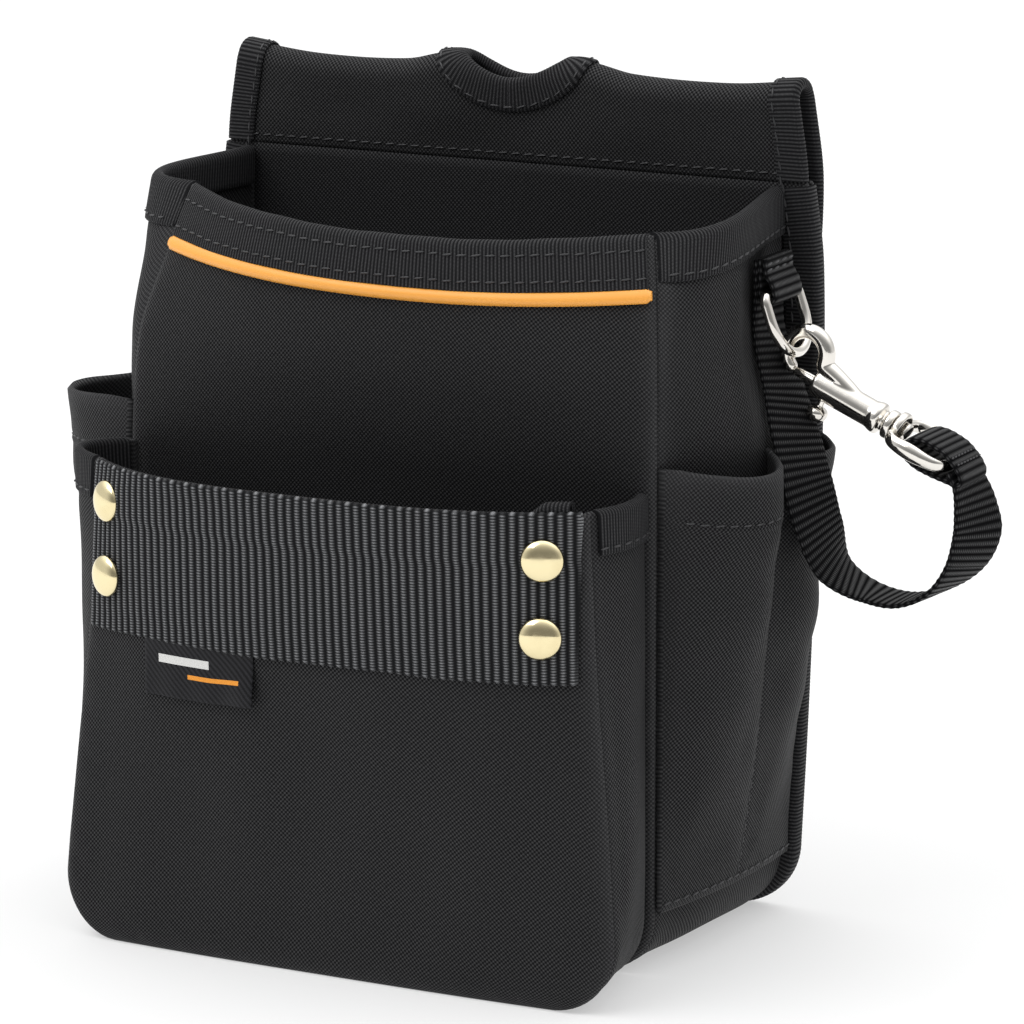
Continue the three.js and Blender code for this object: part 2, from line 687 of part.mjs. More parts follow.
// Tape round the edges of the three back plies, from the flap's seam down and round the base.
function backEdgeTape() {
  const radius = BACK_CORNER;
  const half = (z) => profile(BACK_HALF_WIDTH, z);
  const centre = half(BACK_LIFT + radius) - radius;
  const side = [FLAP_SEAM - 0.5, 205, 150, 110, 60].map((z) => ({ x: half(z), z, nx: 1, nz: 0 }));
  const arc = steps(0, 90, 6).map((degrees) => {
    const nx = Math.cos(rad(degrees));
    const nz = -Math.sin(rad(degrees));
    return { x: centre + radius * nx, z: BACK_LIFT + radius + radius * nz, nx, nz };
  });
  const right = [...side, ...arc];
  const all = [...right, ...right.map((p) => ({ ...p, x: -p.x, nx: -p.nx })).reverse()];
  const rings = all.map(({ x, z, nx, nz }) => {
    const at = (off, y) => new THREE.Vector3(x + nx * off, y, z + nz * off);
    const front = BACK_FACE;
    return [at(GAP, front), at(GAP + TAPE, front), at(GAP + TAPE, OUTER_BACK), at(GAP, OUTER_BACK)];
  });
  return loft(rings);
}

function baseBoard() {
  const geometry = new THREE.BoxGeometry(132, 68, 2.2);
  geometry.translate(0, 2, FABRIC + GAP + 1.1);
  return geometry;
}

// ---------------------------------------------------------------- ribbons and wires
// A flat ribbon through stations of centre, width direction and thickness direction.
function ribbon(stations, width, thickness) {
  const rings = stations.map(({ centre, across, out }) => {
    const w = width / 2;
    const h = thickness / 2;
    const at = (a, b) => centre.clone().addScaledVector(across, a).addScaledVector(out, b);
    return [at(-w, -h), at(w, -h), at(w, h), at(-w, h)];
  });
  return loft(rings);
}

// Ribbon stations along a path of points: the width lies near to a wanted direction.
function ribbonStations(points, widthAt) {
  return points.map((centre, i) => {
    const before = points[Math.max(i - 1, 0)];
    const after = points[Math.min(i + 1, points.length - 1)];
    const along = after.clone().sub(before).normalize();
    const across = widthAt(i).clone().addScaledVector(along, -widthAt(i).dot(along)).normalize();
    const out = new THREE.Vector3().crossVectors(across, along).normalize();
    return { centre, across, out };
  });
}

// A round wire of a given radius at each point of a path.
function wire(points, radiusAt, { closed = false, sides = 8, squash = 1, flatAxis = null } = {}) {
  const count = points.length;
  const rings = points.map((centre, i) => {
    const before = closed ? points[(i + count - 1) % count] : points[Math.max(i - 1, 0)];
    const after = closed ? points[(i + 1) % count] : points[Math.min(i + 1, count - 1)];
    const along = after.clone().sub(before).normalize();
    const side = new THREE.Vector3().crossVectors(flatAxis, along).normalize();
    const up = new THREE.Vector3().crossVectors(along, side).normalize();
    const r = radiusAt(i);
    return Array.from({ length: sides }, (_, k) => {
      const a = (2 * Math.PI * (k + 0.5)) / sides;
      return centre
        .clone()
        .addScaledVector(side, r * Math.cos(a))
        .addScaledVector(up, r * squash * Math.sin(a));
    });
  });
  return loft(rings, { closed });
}

const Y_AXIS = new THREE.Vector3(0, 1, 0);

// ---------------------------------------------------------------- D-ring and its tab
// In the ring's own frame the bar lies along Y at the origin and the bow hangs down -Z.
function ringPath() {
  const bend = 2.4;
  const w = RING_HALF_WIDTH;
  const legEnd = -(RING_DROP - w);
  const corner = (side, from, to) =>
    steps(from, to, 3).map((degrees) => [
      side * (w - bend) + bend * Math.cos(rad(degrees)),
      -bend + bend * Math.sin(rad(degrees)),
    ]);
  const bow = steps(0, 180, 10).map((degrees) => [w * Math.cos(rad(degrees)), legEnd - w * Math.sin(rad(degrees))]);
  const path = [[-3, 0], [3, 0], ...corner(1, 90, 0), ...bow, ...corner(-1, 180, 90)];
  return path.map(([y, z]) => new THREE.Vector3(0, y, z));
}

function dRing() {
  return wire(ringPath(), () => RING_WIRE, { closed: true, flatAxis: new THREE.Vector3(1, 0, 0) });
}

function ringTab() {
  const [x, y, z] = RING_BAR;
  const round = RING_WIRE + GAP + STRAP_PLY / 2;
  const path = [
    [x - round, z + 11],
    [x - round, z + 5],
    ...steps(180, 360, 6).map((degrees) => [
      x + round * Math.cos(rad(degrees)),
      z + round * Math.sin(rad(degrees)),
    ]),
    [x + 1.6, z + 3],
    [x - round + STRAP_PLY + GAP, z + 6.5],
    [x - round + STRAP_PLY + GAP, z + 11],
  ];
  const points = path.map(([px, pz]) => new THREE.Vector3(px, y, pz));
  return ribbon(ribbonStations(points, () => Y_AXIS), STRAP_WIDTH, STRAP_PLY);
}

// ---------------------------------------------------------------- snap hook
// In the hook's frame the origin is the centre of the ring's wire, +X runs down the barrel
// towards the eye, and the barrel's axis lies at z = BARREL_AXIS.
const LOOP_CENTRE = [2.6, 1.1];
const LOOP_RADIUS = 6.7;
const BARREL_START = 8.7;
const BARREL_END = 32.5;
const ROD_RADIUS = 1.5;
const BORE_RADIUS = 2.7;
const COLLAR_END = 37.4;
const FLANGE_START = 37.8;
const FLANGE_END = 40.6;
const EYE_END = 60.2;
const SLIDE_TRAVEL = 6.5;

// A turned solid on the barrel's axis from [radius, distance along it] pairs.
function turned(outline, sides = 20) {
  const geometry = new THREE.LatheGeometry(
    outline.map(([r, s]) => new THREE.Vector2(r, s)),
    sides,
  );
  geometry.rotateZ(-Math.PI / 2);
  geometry.translate(0, 0, BARREL_AXIS);
  return geometry;
}

function hookLoop() {
  const [cx, cz] = LOOP_CENTRE;
  const arc = steps(-8, 244, 14).map((degrees) => [
    cx + LOOP_RADIUS * Math.cos(rad(degrees)),
    cz + LOOP_RADIUS * Math.sin(rad(degrees)),
  ]);
  const path = [[22, BARREL_AXIS + 2.2], [16, BARREL_AXIS + 4], [12.2, BARREL_AXIS + 5.2], ...arc];
  const points = path.map(([x, z]) => new THREE.Vector3(x, 0, z));
  const thick = [2, 2.3, 2.4];
  const radiusAt = (i) => thick[i] ?? THREE.MathUtils.lerp(2.4, 1.8, (i - 3) / 14);
  return wire(points, radiusAt, { sides: 10, flatAxis: Y_AXIS });
}

function hookBody() {
  const barrel = turned([
    [0, BARREL_START],
    [3.9, BARREL_START],
    [4.3, BARREL_START + 0.8],
    [4.3, BARREL_END - 3],
    [4.9, BARREL_END - 1.5],
    [4.9, BARREL_END],
    [3.2, BARREL_END + 1.2],
    [3.2, BARREL_END + 1.8],
    [4.6, BARREL_END + 2.4],
    [4.6, COLLAR_END],
    [2, COLLAR_END],
    [2, FLANGE_END + 0.4],
    [3.4, FLANGE_END + 0.4],
    [3.1, FLANGE_END + 1.8],
    [0, FLANGE_END + 2.2],
  ]);
  const bore = rod(
    new THREE.Vector3(BARREL_START - 3, 0, BARREL_AXIS),
    new THREE.Vector3(1, 0, 0),
    BARREL_END - 2 - BARREL_START + 3,
    BORE_RADIUS,
    16,
  );
  const slot = new THREE.BoxGeometry(SLIDE_TRAVEL + 4.6, 2.8, 6);
  slot.translate(KNOB_AT + SLIDE_TRAVEL / 2 + 0.5, 0, BARREL_AXIS - 3.4);
  return cut(join(barrel, hookLoop()), bore, slot);
}

const ROD_TIP = 1.0;
const BOLT_HEAD_END = 16.5;
const KNOB_AT = 13.2;

function hookBolt() {
  const shaft = turned(
    [
      [0, ROD_TIP],
      [1.2, ROD_TIP],
      [ROD_RADIUS, ROD_TIP + 0.5],
      [ROD_RADIUS, 10.5],
      [2.3, 10.5],
      [2.3, BOLT_HEAD_END],
      [0, BOLT_HEAD_END],
    ],
    14,
  );
  const down = new THREE.Vector3(0, 0, -1);
  const stem = rod(new THREE.Vector3(KNOB_AT, 0, BARREL_AXIS), down, 6.4, 1.1, 10);
  const knob = new THREE.SphereGeometry(2.7, 14, 8);
  knob.rotateX(Math.PI / 2);
  knob.scale(1, 1, 0.8);
  knob.translate(KNOB_AT, 0, BARREL_AXIS - 7.6);
  return join(shaft, stem, knob);
}

function boltSpring() {
  const turns = 5;
  const perTurn = 10;
  const start = BOLT_HEAD_END + 0.8;
  const end = BARREL_END - 2.9;
  const points = steps(0, turns, turns * perTurn).map((turn) => {
    const a = 2 * Math.PI * turn;
    const x = start + ((end - start) * turn) / turns;
    return new THREE.Vector3(x, 1.85 * Math.cos(a), BARREL_AXIS + 1.85 * Math.sin(a));
  });
  return wire(points, () => 0.4, { sides: 5, flatAxis: new THREE.Vector3(1, 0, 0) });
}

// Flat-sided loop that the strap threads, on a flange that turns on the hook's stud.
function swivelEye() {
  const reach = 11.9;
  const base = (FLANGE_START + FLANGE_END) / 2;
  const bend = 4;
  const side = [
    [base, 0],
    [base, reach - bend],
    [base + 1.2, reach - 1.2],
    [base + bend, reach],
    [EYE_END - 7, reach],
    [EYE_END - 3.2, reach - 1],
    [EYE_END - 1.2, reach - 4],
    [EYE_END - 1.2, 0],
  ];
  const loop = [...side, ...side.slice(1, -1).map(([x, y]) => [x, -y]).reverse()];
  const points = loop.map(([x, y]) => new THREE.Vector3(x, y, BARREL_AXIS));
  const ring = wire(points, () => 1.4, { closed: true, squash: 1.5, flatAxis: new THREE.Vector3(0, 0, 1) });
  const flange = turned([[0, FLANGE_START], [5.8, FLANGE_START], [5.8, FLANGE_END], [0, FLANGE_END]]);
  const hole = rod(new THREE.Vector3(FLANGE_START - 3, 0, BARREL_AXIS), new THREE.Vector3(1, 0, 0), 9, 2.4, 16);
  return cut(join(ring, flange), hole);
}

// The strap's end, folded round the far bar of the eye and sewn back on itself.
function strapEndLoop() {
  const top = [[45, 1.4], [46.8, 3.3], [51, 4.3], [57.5, 4], [63, 1.6], [66.4, -1.2]];
  const under = [[65.8, -3.1], [62, -3.3], [57, -4], [51, -4.3], [46.8, -3.3], [45, -1.4]];
  const loop = [...top, ...under];
  const count = loop.length;
  const rings = loop.map(([x, z], i) => {
    const [ax, az] = loop[(i + count - 1) % count];
    const [bx, bz] = loop[(i + 1) % count];
    const along = new THREE.Vector2(bx - ax, bz - az).normalize();
    const h = STRAP_PLY / 2;
    const w = STRAP_WIDTH / 2;
    const at = (y, off) => new THREE.Vector3(x - along.y * off, y, BARREL_AXIS + z + along.x * off);
    return [at(-w, -h), at(w, -h), at(w, h), at(-w, h)];
  });
  return loft(rings, { closed: true });
}

// ---------------------------------------------------------------- hanging strap
// Centre of the strap from its sewn end under the tab to the fold at the eye, with the
// angle that its width makes with +Y, turning towards +X.
const STRAP_ROUTE = [
  [99.4, 18.5, 211.5, 0],
  [99.4, 18.5, 200, 0],
  [100.2, 17.8, 188, 3],
  [106.8, 14.5, 172, 12],
  [113.6, 9, 158, 22],
  [118.2, 6.5, 146, 26],
  [121.6, 8.5, 132, 20],
  [125, 14, 118.5, 6],
  [133.5, 18, 111.5, 0],
  [145.5, 18.5, 109.9, 0],
  [156.8, 18.5, 114.3, 8],
  [164.8, 18.5, 122.5, 20],
  [168.5, 18.5, 132.4, 26],
  [167.6, 18.5, 141, 16],
  [165.2, 18.5, 146.6, 4],
];

function hangingStrap() {
  const curve = new THREE.CatmullRomCurve3(STRAP_ROUTE.map(([x, y, z]) => new THREE.Vector3(x, y, z)));
  const count = 44;
  const points = steps(0, 1, count).map((t) => curve.getPoint(t));
  const last = STRAP_ROUTE.length - 1;
  const widthAt = (i) => {
    const place = (i / count) * last;
    const k = Math.min(Math.floor(place), last - 1);
    const angle = rad(THREE.MathUtils.lerp(STRAP_ROUTE[k][3], STRAP_ROUTE[k + 1][3], place - k));
    return new THREE.Vector3(Math.sin(angle), Math.cos(angle), 0);
  };
  return ribbon(ribbonStations(points, widthAt), STRAP_WIDTH, STRAP_PLY);
}

// ---------------------------------------------------------------- assembly
const pouch = new THREE.Group();

function add(name, geometry, material, parent = pouch) {
  const mesh = new THREE.Mesh(geometry, material);
  mesh.name = name;
  parent.add(mesh);
  return mesh;
}

const holes = rivetHoles();

add("back_panel", backPlate(BACK_FACE, FLAP_PLY, BACK_LIFT, FLAP_SEAM, 0), NYLON_LINING);
add("back_board", backPlate(BOARD_Y, BOARD_PLY, 6, FLAP_SEAM, 6), BOARD);
add("back_outer_panel", backPlate(OUTER_Y, FLAP_PLY, BACK_LIFT, FLAP_SEAM, 0), NYLON);
add("back_edge_tape", backEdgeTape(), BINDING);
add("belt_flap", beltFlap(), NYLON);
add("flap_notch_tape", notchTape(), BINDING);
add("base_board", baseBoard(), BOARD);
add("main_front_panel", mainFrontPanel(), NYLON);
add("main_gusset", mainGusset(), NYLON);
add("main_mouth_tape", mainMouthTape(), BINDING);
add("orange_piping", orangePiping(), PIPING);
add("front_pouch_panel", cut(frontPouchPanel(), ...holes), NYLON);
add("front_pouch_gusset", frontPouchGusset(), NYLON);
add("front_mouth_tape", cut(pouchMouthTape(), ...holes), BINDING);
add("webbing_band", cut(webbingBand(), ...holes), WEB);
add("label_tag", labelTag(), LABEL);

for (const [hand, side] of [["left", 1], ["right", -1]]) {
  add(`flap_tape_${hand}`, flapEdgeTape(side), BINDING);
  add(`gusset_tape_${hand}`, mainGussetTape(side), BINDING);
  add(`front_gusset_tape_${hand}`, pouchGussetTape(side), BINDING);
  add(`side_pocket_${hand}`, sidePocket(side), NYLON);
}

for (const seat of RIVETS) {
  add(`rivet_cap_${seat.name}`, rivetCap(seat), BRASS);
  add(`rivet_washer_${seat.name}`, rivetWasher(seat), BRASS);
}

add("ring_tab", ringTab(), WEB);
add("hanging_strap", hangingStrap(), WEB);

const ringFrame = new THREE.Group();
ringFrame.position.set(...RING_BAR);
ringFrame.rotation.y = -rad(RING_TILT);
pouch.add(ringFrame);
add("d_ring", dRing(), NICKEL, ringFrame);

const hookFrame = new THREE.Group();
hookFrame.position.set(
  RING_BAR[0] + RING_DROP * Math.sin(rad(RING_TILT)),
  RING_BAR[1],
  RING_BAR[2] - RING_DROP * Math.cos(rad(RING_TILT)),
);
hookFrame.rotation.y = rad(HOOK_DIP);
pouch.add(hookFrame);
add("hook_body", hookBody(), NICKEL, hookFrame);
add("hook_bolt", hookBolt(), NICKEL, hookFrame);
add("bolt_spring", boltSpring(), SPRING_STEEL, hookFrame);
add("swivel_eye", swivelEye(), NICKEL, hookFrame);
add("strap_end_loop", strapEndLoop(), WEB, hookFrame);

export default pouch;
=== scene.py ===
"""Electrician's tool pouch: woven nylon, bound edges, webbing band, rivets, D-ring and snap hook.

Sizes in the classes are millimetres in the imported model's frame: +Z up, +Y towards the wearer,
+X to the side that carries the D-ring. Meshes are written in metres.
"""

import logging
import math
from dataclasses import dataclass, field
from enum import Enum
from typing import Callable

import bmesh
import bpy
import numpy as np
from mathutils import Matrix, Vector


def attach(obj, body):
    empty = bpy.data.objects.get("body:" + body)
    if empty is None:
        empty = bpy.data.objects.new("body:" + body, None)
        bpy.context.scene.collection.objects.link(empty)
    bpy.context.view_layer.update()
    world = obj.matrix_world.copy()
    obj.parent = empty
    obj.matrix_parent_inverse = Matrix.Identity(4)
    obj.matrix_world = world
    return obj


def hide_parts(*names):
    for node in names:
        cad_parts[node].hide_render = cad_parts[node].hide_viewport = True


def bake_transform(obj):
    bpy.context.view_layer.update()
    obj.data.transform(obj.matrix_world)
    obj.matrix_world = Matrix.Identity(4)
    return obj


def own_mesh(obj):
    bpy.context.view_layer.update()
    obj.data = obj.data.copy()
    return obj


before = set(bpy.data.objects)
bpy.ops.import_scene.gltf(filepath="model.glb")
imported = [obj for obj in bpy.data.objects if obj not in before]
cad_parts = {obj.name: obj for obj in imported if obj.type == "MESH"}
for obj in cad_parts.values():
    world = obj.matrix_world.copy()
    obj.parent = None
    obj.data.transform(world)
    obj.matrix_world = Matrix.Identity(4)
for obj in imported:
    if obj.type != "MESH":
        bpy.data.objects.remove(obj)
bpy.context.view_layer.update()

log = logging.getLogger("pouch")
Array = np.ndarray
Piece = bpy.types.Object
Finish = bpy.types.Material
Tree = bpy.types.NodeTree
MM = 0.001


class Side(Enum):
    """Which side of the pouch a piece belongs to: the value is the sign of its x."""

    LEFT = 1
    RIGHT = -1


class Body(Enum):
    """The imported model's bodies."""

    POUCH = "pouch"
    RING = "ring"
    HOOK = "hook"
    BOLT = "bolt"
    EYE = "eye"


class Slot(Enum):
    """The record's material slots."""

    NYLON = "nylon"
    BINDING = "binding"
    WEBBING = "webbing"
    PIPING = "piping"
    LABEL = "label"
    BOARD = "board"
    RIVET = "rivet_brass"
    NICKEL = "nickel"
    SPRING = "spring_steel"


# ------------------------------------------------------------------ small maths
def profile(knots: list, at: Array) -> Array:
    """Smooth curve through knots, flat outside them.

    Args:
        knots: Pairs of place and value, places rising.
        at: Places to read.

    Returns:
        The value at each place.
    """
    place, value = np.array(knots, float).T
    last = len(place) - 1
    before = np.maximum(np.arange(last + 1) - 1, 0)
    after = np.minimum(np.arange(last + 1) + 1, last)
    slope = (value[after] - value[before]) / (place[after] - place[before])
    at = np.clip(np.asarray(at, float), place[0], place[-1])
    i = np.clip(np.searchsorted(place, at) - 1, 0, last - 1)
    span = place[i + 1] - place[i]
    t = (at - place[i]) / span
    start = (1 + 2 * t) * (1 - t) ** 2 * value[i] + t * (1 - t) ** 2 * span * slope[i]
    end = t * t * (3 - 2 * t) * value[i + 1] + t * t * (t - 1) * span * slope[i + 1]
    return start + end


def hump(t: Array, a: float | Array, b: float | Array) -> Array:
    """Rise and fall over 0..1 that peaks at 1 where a / (a + b) lies."""
    t = np.clip(t, 0, 1)
    peak = a / (a + b)
    return t**a * (1 - t) ** b / (peak**a * (1 - peak) ** b)


def smooth(value: Array, low: float, high: float) -> Array:
    """Smooth step from 0 at low to 1 at high."""
    t = np.clip((np.asarray(value, float) - low) / (high - low), 0, 1)
    return t * t * (3 - 2 * t)


def corner_cut(z: Array, radius: float) -> Array:
    """How far a round corner pulls an outline in at a height above its base."""
    rest = np.clip(radius - np.asarray(z, float), 0, radius)
    return radius - np.sqrt(radius**2 - rest**2)


def edge_roll(distance: Array, radius: float, depth: float) -> Array:
    """How far a face falls away towards a sewn edge, at a distance from it."""
    near = np.clip(1 - np.asarray(distance, float) / radius, 0, 1)
    return depth * (1 - np.sqrt(1 - near**2))


def ripple(a: Array, b: Array, seed: int, wave: float, height: float) -> Array:
    """Soft unevenness of cloth over two lengths.

    Args:
        a: First length over the surface.
        b: Second length over the surface.
        seed: Chooses the pattern.
        wave: Typical wavelength.
        height: Typical height.

    Returns:
        A height at each place.
    """
    rng = np.random.default_rng(seed)
    total = 0.0
    for _ in range(7):
        angle, phase = rng.uniform(0, 2 * math.pi, 2)
        rate = 2 * math.pi / (wave * rng.uniform(0.6, 1.7))
        total = total + np.cos(rate * (a * math.cos(angle) + b * math.sin(angle)) + phase)
    return height * total / 2.6


def pucker(along: Array, distance: Array, seed: int, height: float) -> Array:
    """Small gathers that a seam pulls into cloth, dying away from the seam."""
    gathers = ripple(along, along * 0, seed, 9, height)
    return gathers * np.exp(-np.abs(distance) / 5)


def spread(count: int, ends: float = 0.4) -> Array:
    """Places over -1..1, closer together towards the ends."""
    even = np.linspace(-1, 1, count)
    return (1 - ends) * even + ends * np.sin(even * math.pi / 2)


def corner_heights(radius: float, top: float, step: float) -> Array:
    """Heights of a panel's rows: close together round its bottom corners, even above."""
    arc = radius - radius * np.sin(np.radians(np.linspace(90, 0, 14)))
    rest = np.linspace(radius, top, max(int((top - radius) / step), 2))
    return np.concatenate([arc, rest[1:]])


def unit(vectors: Array) -> Array:
    """Vectors scaled to length 1."""
    length = np.linalg.norm(vectors, axis=-1, keepdims=True)
    return vectors / np.maximum(length, 1e-9)


def lengths(path: Array) -> Array:
    """Distance along a path at each of its points."""
    step = np.linalg.norm(np.diff(path, axis=0), axis=1)
    return np.concatenate([[0], np.cumsum(step)])


def resample(path: Array, step: float) -> Array:
    """Points evenly spaced along a path, about a step apart."""
    place = lengths(path)
    count = max(int(round(place[-1] / step)), 2)
    even = np.linspace(0, place[-1], count + 1)
    return np.stack([np.interp(even, place, path[:, k]) for k in range(path.shape[1])], -1)


def rounded(path: Array, passes: int) -> Array:
    """A path with its bends softened, its ends kept."""
    path = path.copy()
    for _ in range(passes):
        path[1:-1] = path[1:-1] / 2 + (path[:-2] + path[2:]) / 4
    return path


def curve_through(knots: list, step: float) -> Array:
    """Evenly spaced points on a smooth curve through knots of any dimension."""
    knots = np.array(knots, float)
    place = lengths(knots[:, :3])
    fine = np.linspace(0, place[-1], max(int(place[-1] / step * 4), 8))
    curve = [profile(list(zip(place, knots[:, k])), fine) for k in range(knots.shape[1])]
    return resample(np.stack(curve, -1), step)


# ------------------------------------------------------------------ mesh making
def make_mesh(name: str, verts: Array, faces: list, loop_uv: Array | None = None,
              wear: Array | None = None, weld: bool = False) -> Piece:
    """A smooth-shaded mesh object with outward faces.

    Args:
        name: The piece's name.
        verts: Vertices in millimetres.
        faces: Vertex indices of each face.
        loop_uv: Lengths over the cloth at each face corner, in millimetres.
        wear: How rubbed each vertex is, 0..1.
        weld: Merge vertices that coincide, for poles.

    Returns:
        The object, linked to the scene.
    """
    mesh = bpy.data.meshes.new(name)
    mesh.from_pydata((verts * MM).tolist(), [], faces)
    if loop_uv is not None:
        layer = mesh.uv_layers.new(name="UVMap")
        layer.data.foreach_set("uv", (loop_uv * MM).astype(np.float32).ravel())
    if wear is not None:
        rubbed = mesh.attributes.new("wear", "FLOAT", "POINT")
        rubbed.data.foreach_set("value", wear.astype(np.float32))
    shell = bmesh.new()
    shell.from_mesh(mesh)
    if weld:
        bmesh.ops.remove_doubles(shell, verts=shell.verts[:], dist=1e-6)
    bmesh.ops.recalc_face_normals(shell, faces=shell.faces[:])
    shell.to_mesh(mesh)
    shell.free()
    mesh.polygons.foreach_set("use_smooth", [True] * len(mesh.polygons))
    piece = bpy.data.objects.new(name, mesh)
    bpy.context.scene.collection.objects.link(piece)
    return piece


def sweep(name: str, rings: Array, closed: bool = False, weld: bool = False,
          sharp: float = 55) -> Piece:
    """Joins matching rings of points into a closed skin.

    Args:
        name: The piece's name.
        rings: Points, (stations, points round, 3).
        closed: Whether the last ring joins the first.
        weld: Merge coinciding points, for poles.
        sharp: Angle in degrees past which an edge is shaded sharp.

    Returns:
        The piece.
    """
    n, m, _ = rings.shape
    i = np.arange(n if closed else n - 1)[:, None]
    j = np.arange(m)[None, :]
    here, onward = i * m, (i + 1) % n * m
    following = (j + 1) % m
    quads = np.stack([here + j, here + following, onward + following, onward + j], -1)
    centre = rings.mean(1)
    steps = np.linalg.norm(np.roll(centre, -1, 0) - centre, axis=1)
    u = np.concatenate([[0], np.cumsum(steps)])
    round_steps = np.linalg.norm(np.roll(rings, -1, 1) - rings, axis=2).mean(0)
    v = np.concatenate([[0], np.cumsum(round_steps)])
    grid_u, grid_v = np.meshgrid(u, v, indexing="ij")
    flat = np.stack([grid_u, grid_v], -1)
    uv = np.stack([flat[i, j], flat[i, j + 1], flat[i + 1, j + 1], flat[i + 1, j]], 2).reshape(-1, 2)
    faces = quads.reshape(-1, 4).tolist()
    if not closed and not weld:
        faces += [list(range(m)), list(range((n - 1) * m, n * m))]
        uv = np.concatenate([uv, flat[0, :m], flat[n - 1, :m]])
    piece = make_mesh(name, rings.reshape(-1, 3), faces, uv, weld=weld)
    piece.data.set_sharp_from_angle(angle=math.radians(sharp))
    return piece


def cloth_lengths(grid: Array) -> Array:
    """Lengths over a grid of points: across from its centre column, and up from its first row."""
    centre = grid.shape[1] // 2
    across = np.linalg.norm(np.diff(grid, axis=1), axis=2)
    across = np.concatenate([np.zeros((grid.shape[0], 1)), np.cumsum(across, 1)], 1)
    across = across - across[:, centre : centre + 1]
    up = np.linalg.norm(np.diff(grid, axis=0), axis=2)
    up = np.concatenate([np.zeros((1, grid.shape[1])), np.cumsum(up, 0)])
    return np.stack([across, up], -1)


def shell(name: str, outer: Array, inner: Array, wear: Array | None = None,
          fullness: float = 0.45) -> Piece:
    """A sheet with thickness and rounded edges.

    Args:
        name: The piece's name.
        outer: Points of the outer face, (rows, columns, 3).
        inner: Points of the inner face, the same shape.
        wear: How rubbed each point is, (rows, columns).
        fullness: How far the edges bulge, as a share of the thickness.

    Returns:
        The piece.
    """
    rows, cols, _ = outer.shape
    index = np.arange(rows * cols).reshape(rows, cols)
    rim = np.concatenate([index[0, :-1], index[:-1, -1], index[-1, :0:-1], index[:0:-1, 0]])
    near = np.concatenate([index[1, :-1], index[:-1, -2], index[-2, :0:-1], index[:0:-1, 1]])
    face, back = outer.reshape(-1, 3), inner.reshape(-1, 3)
    away = unit(face[rim] - face[near])
    depth = np.linalg.norm(face[rim] - back[rim], axis=1, keepdims=True)
    middle = (face[rim] + back[rim]) / 2 + away * depth * fullness
    count = rows * cols
    quads = np.stack([index[:-1, :-1], index[:-1, 1:], index[1:, 1:], index[1:, :-1]], -1).reshape(-1, 4)
    after = np.roll(rim, -1)
    mid = 2 * count + np.arange(len(rim))
    mid_after = np.roll(mid, -1)
    front_rim = np.stack([rim, after, mid_after, mid], -1)
    back_rim = np.stack([mid, mid_after, after + count, rim + count], -1)
    faces = np.concatenate([quads, quads[:, ::-1] + count, front_rim, back_rim])
    uv = cloth_lengths(outer).reshape(-1, 2)
    all_uv = np.concatenate([uv, uv, uv[rim]])
    rubbed = None
    if wear is not None:
        flat = wear.reshape(-1)
        rubbed = np.concatenate([flat, flat, np.ones(len(rim))])
    verts = np.concatenate([face, back, middle])
    return make_mesh(name, verts, faces.tolist(), all_uv[faces.reshape(-1)], rubbed)


def bored(name: str, cast: Piece, sharp: float, *tools: Piece) -> Piece:
    """A cast piece with other shapes cut out of it.

    Args:
        name: Name of the result.
        cast: The piece.
        sharp: Angle in degrees past which an edge is shaded sharp.
        tools: The shapes to cut away, which are used up.

    Returns:
        The cut piece.
    """
    for tool in tools:
        cutting = cast.modifiers.new(tool.name, "BOOLEAN")
        cutting.operation, cutting.solver, cutting.object = "DIFFERENCE", "EXACT", tool
    cast = baked(cast, name)
    for tool in tools:
        bpy.data.objects.remove(tool)
    cast.data.polygons.foreach_set("use_smooth", [True] * len(cast.data.polygons))
    cast.data.set_sharp_from_angle(angle=math.radians(sharp))
    return cast


def with_up(name: str, verts: Array, edges: list, ups: Array) -> Piece:
    """Points and edges that carry the way each point faces, in an attribute called "up"."""
    mesh = bpy.data.meshes.new(name)
    mesh.from_pydata((verts * MM).tolist(), edges, [])
    up = mesh.attributes.new("up", "FLOAT_VECTOR", "POINT")
    up.data.foreach_set("vector", ups.astype(np.float32).ravel())
    holder = bpy.data.objects.new(name, mesh)
    bpy.context.scene.collection.objects.link(holder)
    return holder


def join_pieces(name: str, *pieces: Piece) -> Piece:
    """Several pieces as one mesh."""
    joined = bmesh.new()
    for piece in pieces:
        joined.from_mesh(piece.data)
    mesh = bpy.data.meshes.new(name)
    joined.to_mesh(mesh)
    joined.free()
    for piece in pieces:
        bpy.data.objects.remove(piece)
    whole = bpy.data.objects.new(name, mesh)
    bpy.context.scene.collection.objects.link(whole)
    return whole


def baked(piece: Piece, name: str) -> Piece:
    """The piece with its modifiers applied, as a plain mesh under a given name."""
    graph = bpy.context.evaluated_depsgraph_get()
    graph.update()
    mesh = bpy.data.meshes.new_from_object(
        piece.evaluated_get(graph), preserve_all_data_layers=True, depsgraph=graph
    )
    bpy.data.objects.remove(piece)
    result = bpy.data.objects.new(name, mesh)
    mesh.name = name
    bpy.context.scene.collection.objects.link(result)
    return result


def grown(piece: Piece, tree: Tree, name: str, **sizes: object) -> Piece:
    """Runs a Geometry Nodes tree on a piece.

    Args:
        piece: The piece that the tree starts from, which is used up.
        tree: The tree.
        name: Name of the result.
        sizes: Values for the tree's inputs, with _ for spaces in their names.

    Returns:
        The result as a plain mesh.
    """
    modifier = piece.modifiers.new(tree.name, "NODES")
    modifier.node_group = tree
    wanted = {key.replace("_", " "): value for key, value in sizes.items()}
    for item in tree.interface.items_tree:
        if item.item_type == "SOCKET" and item.in_out == "INPUT" and item.name in wanted:
            modifier[item.identifier] = wanted[item.name]
    return baked(piece, name)


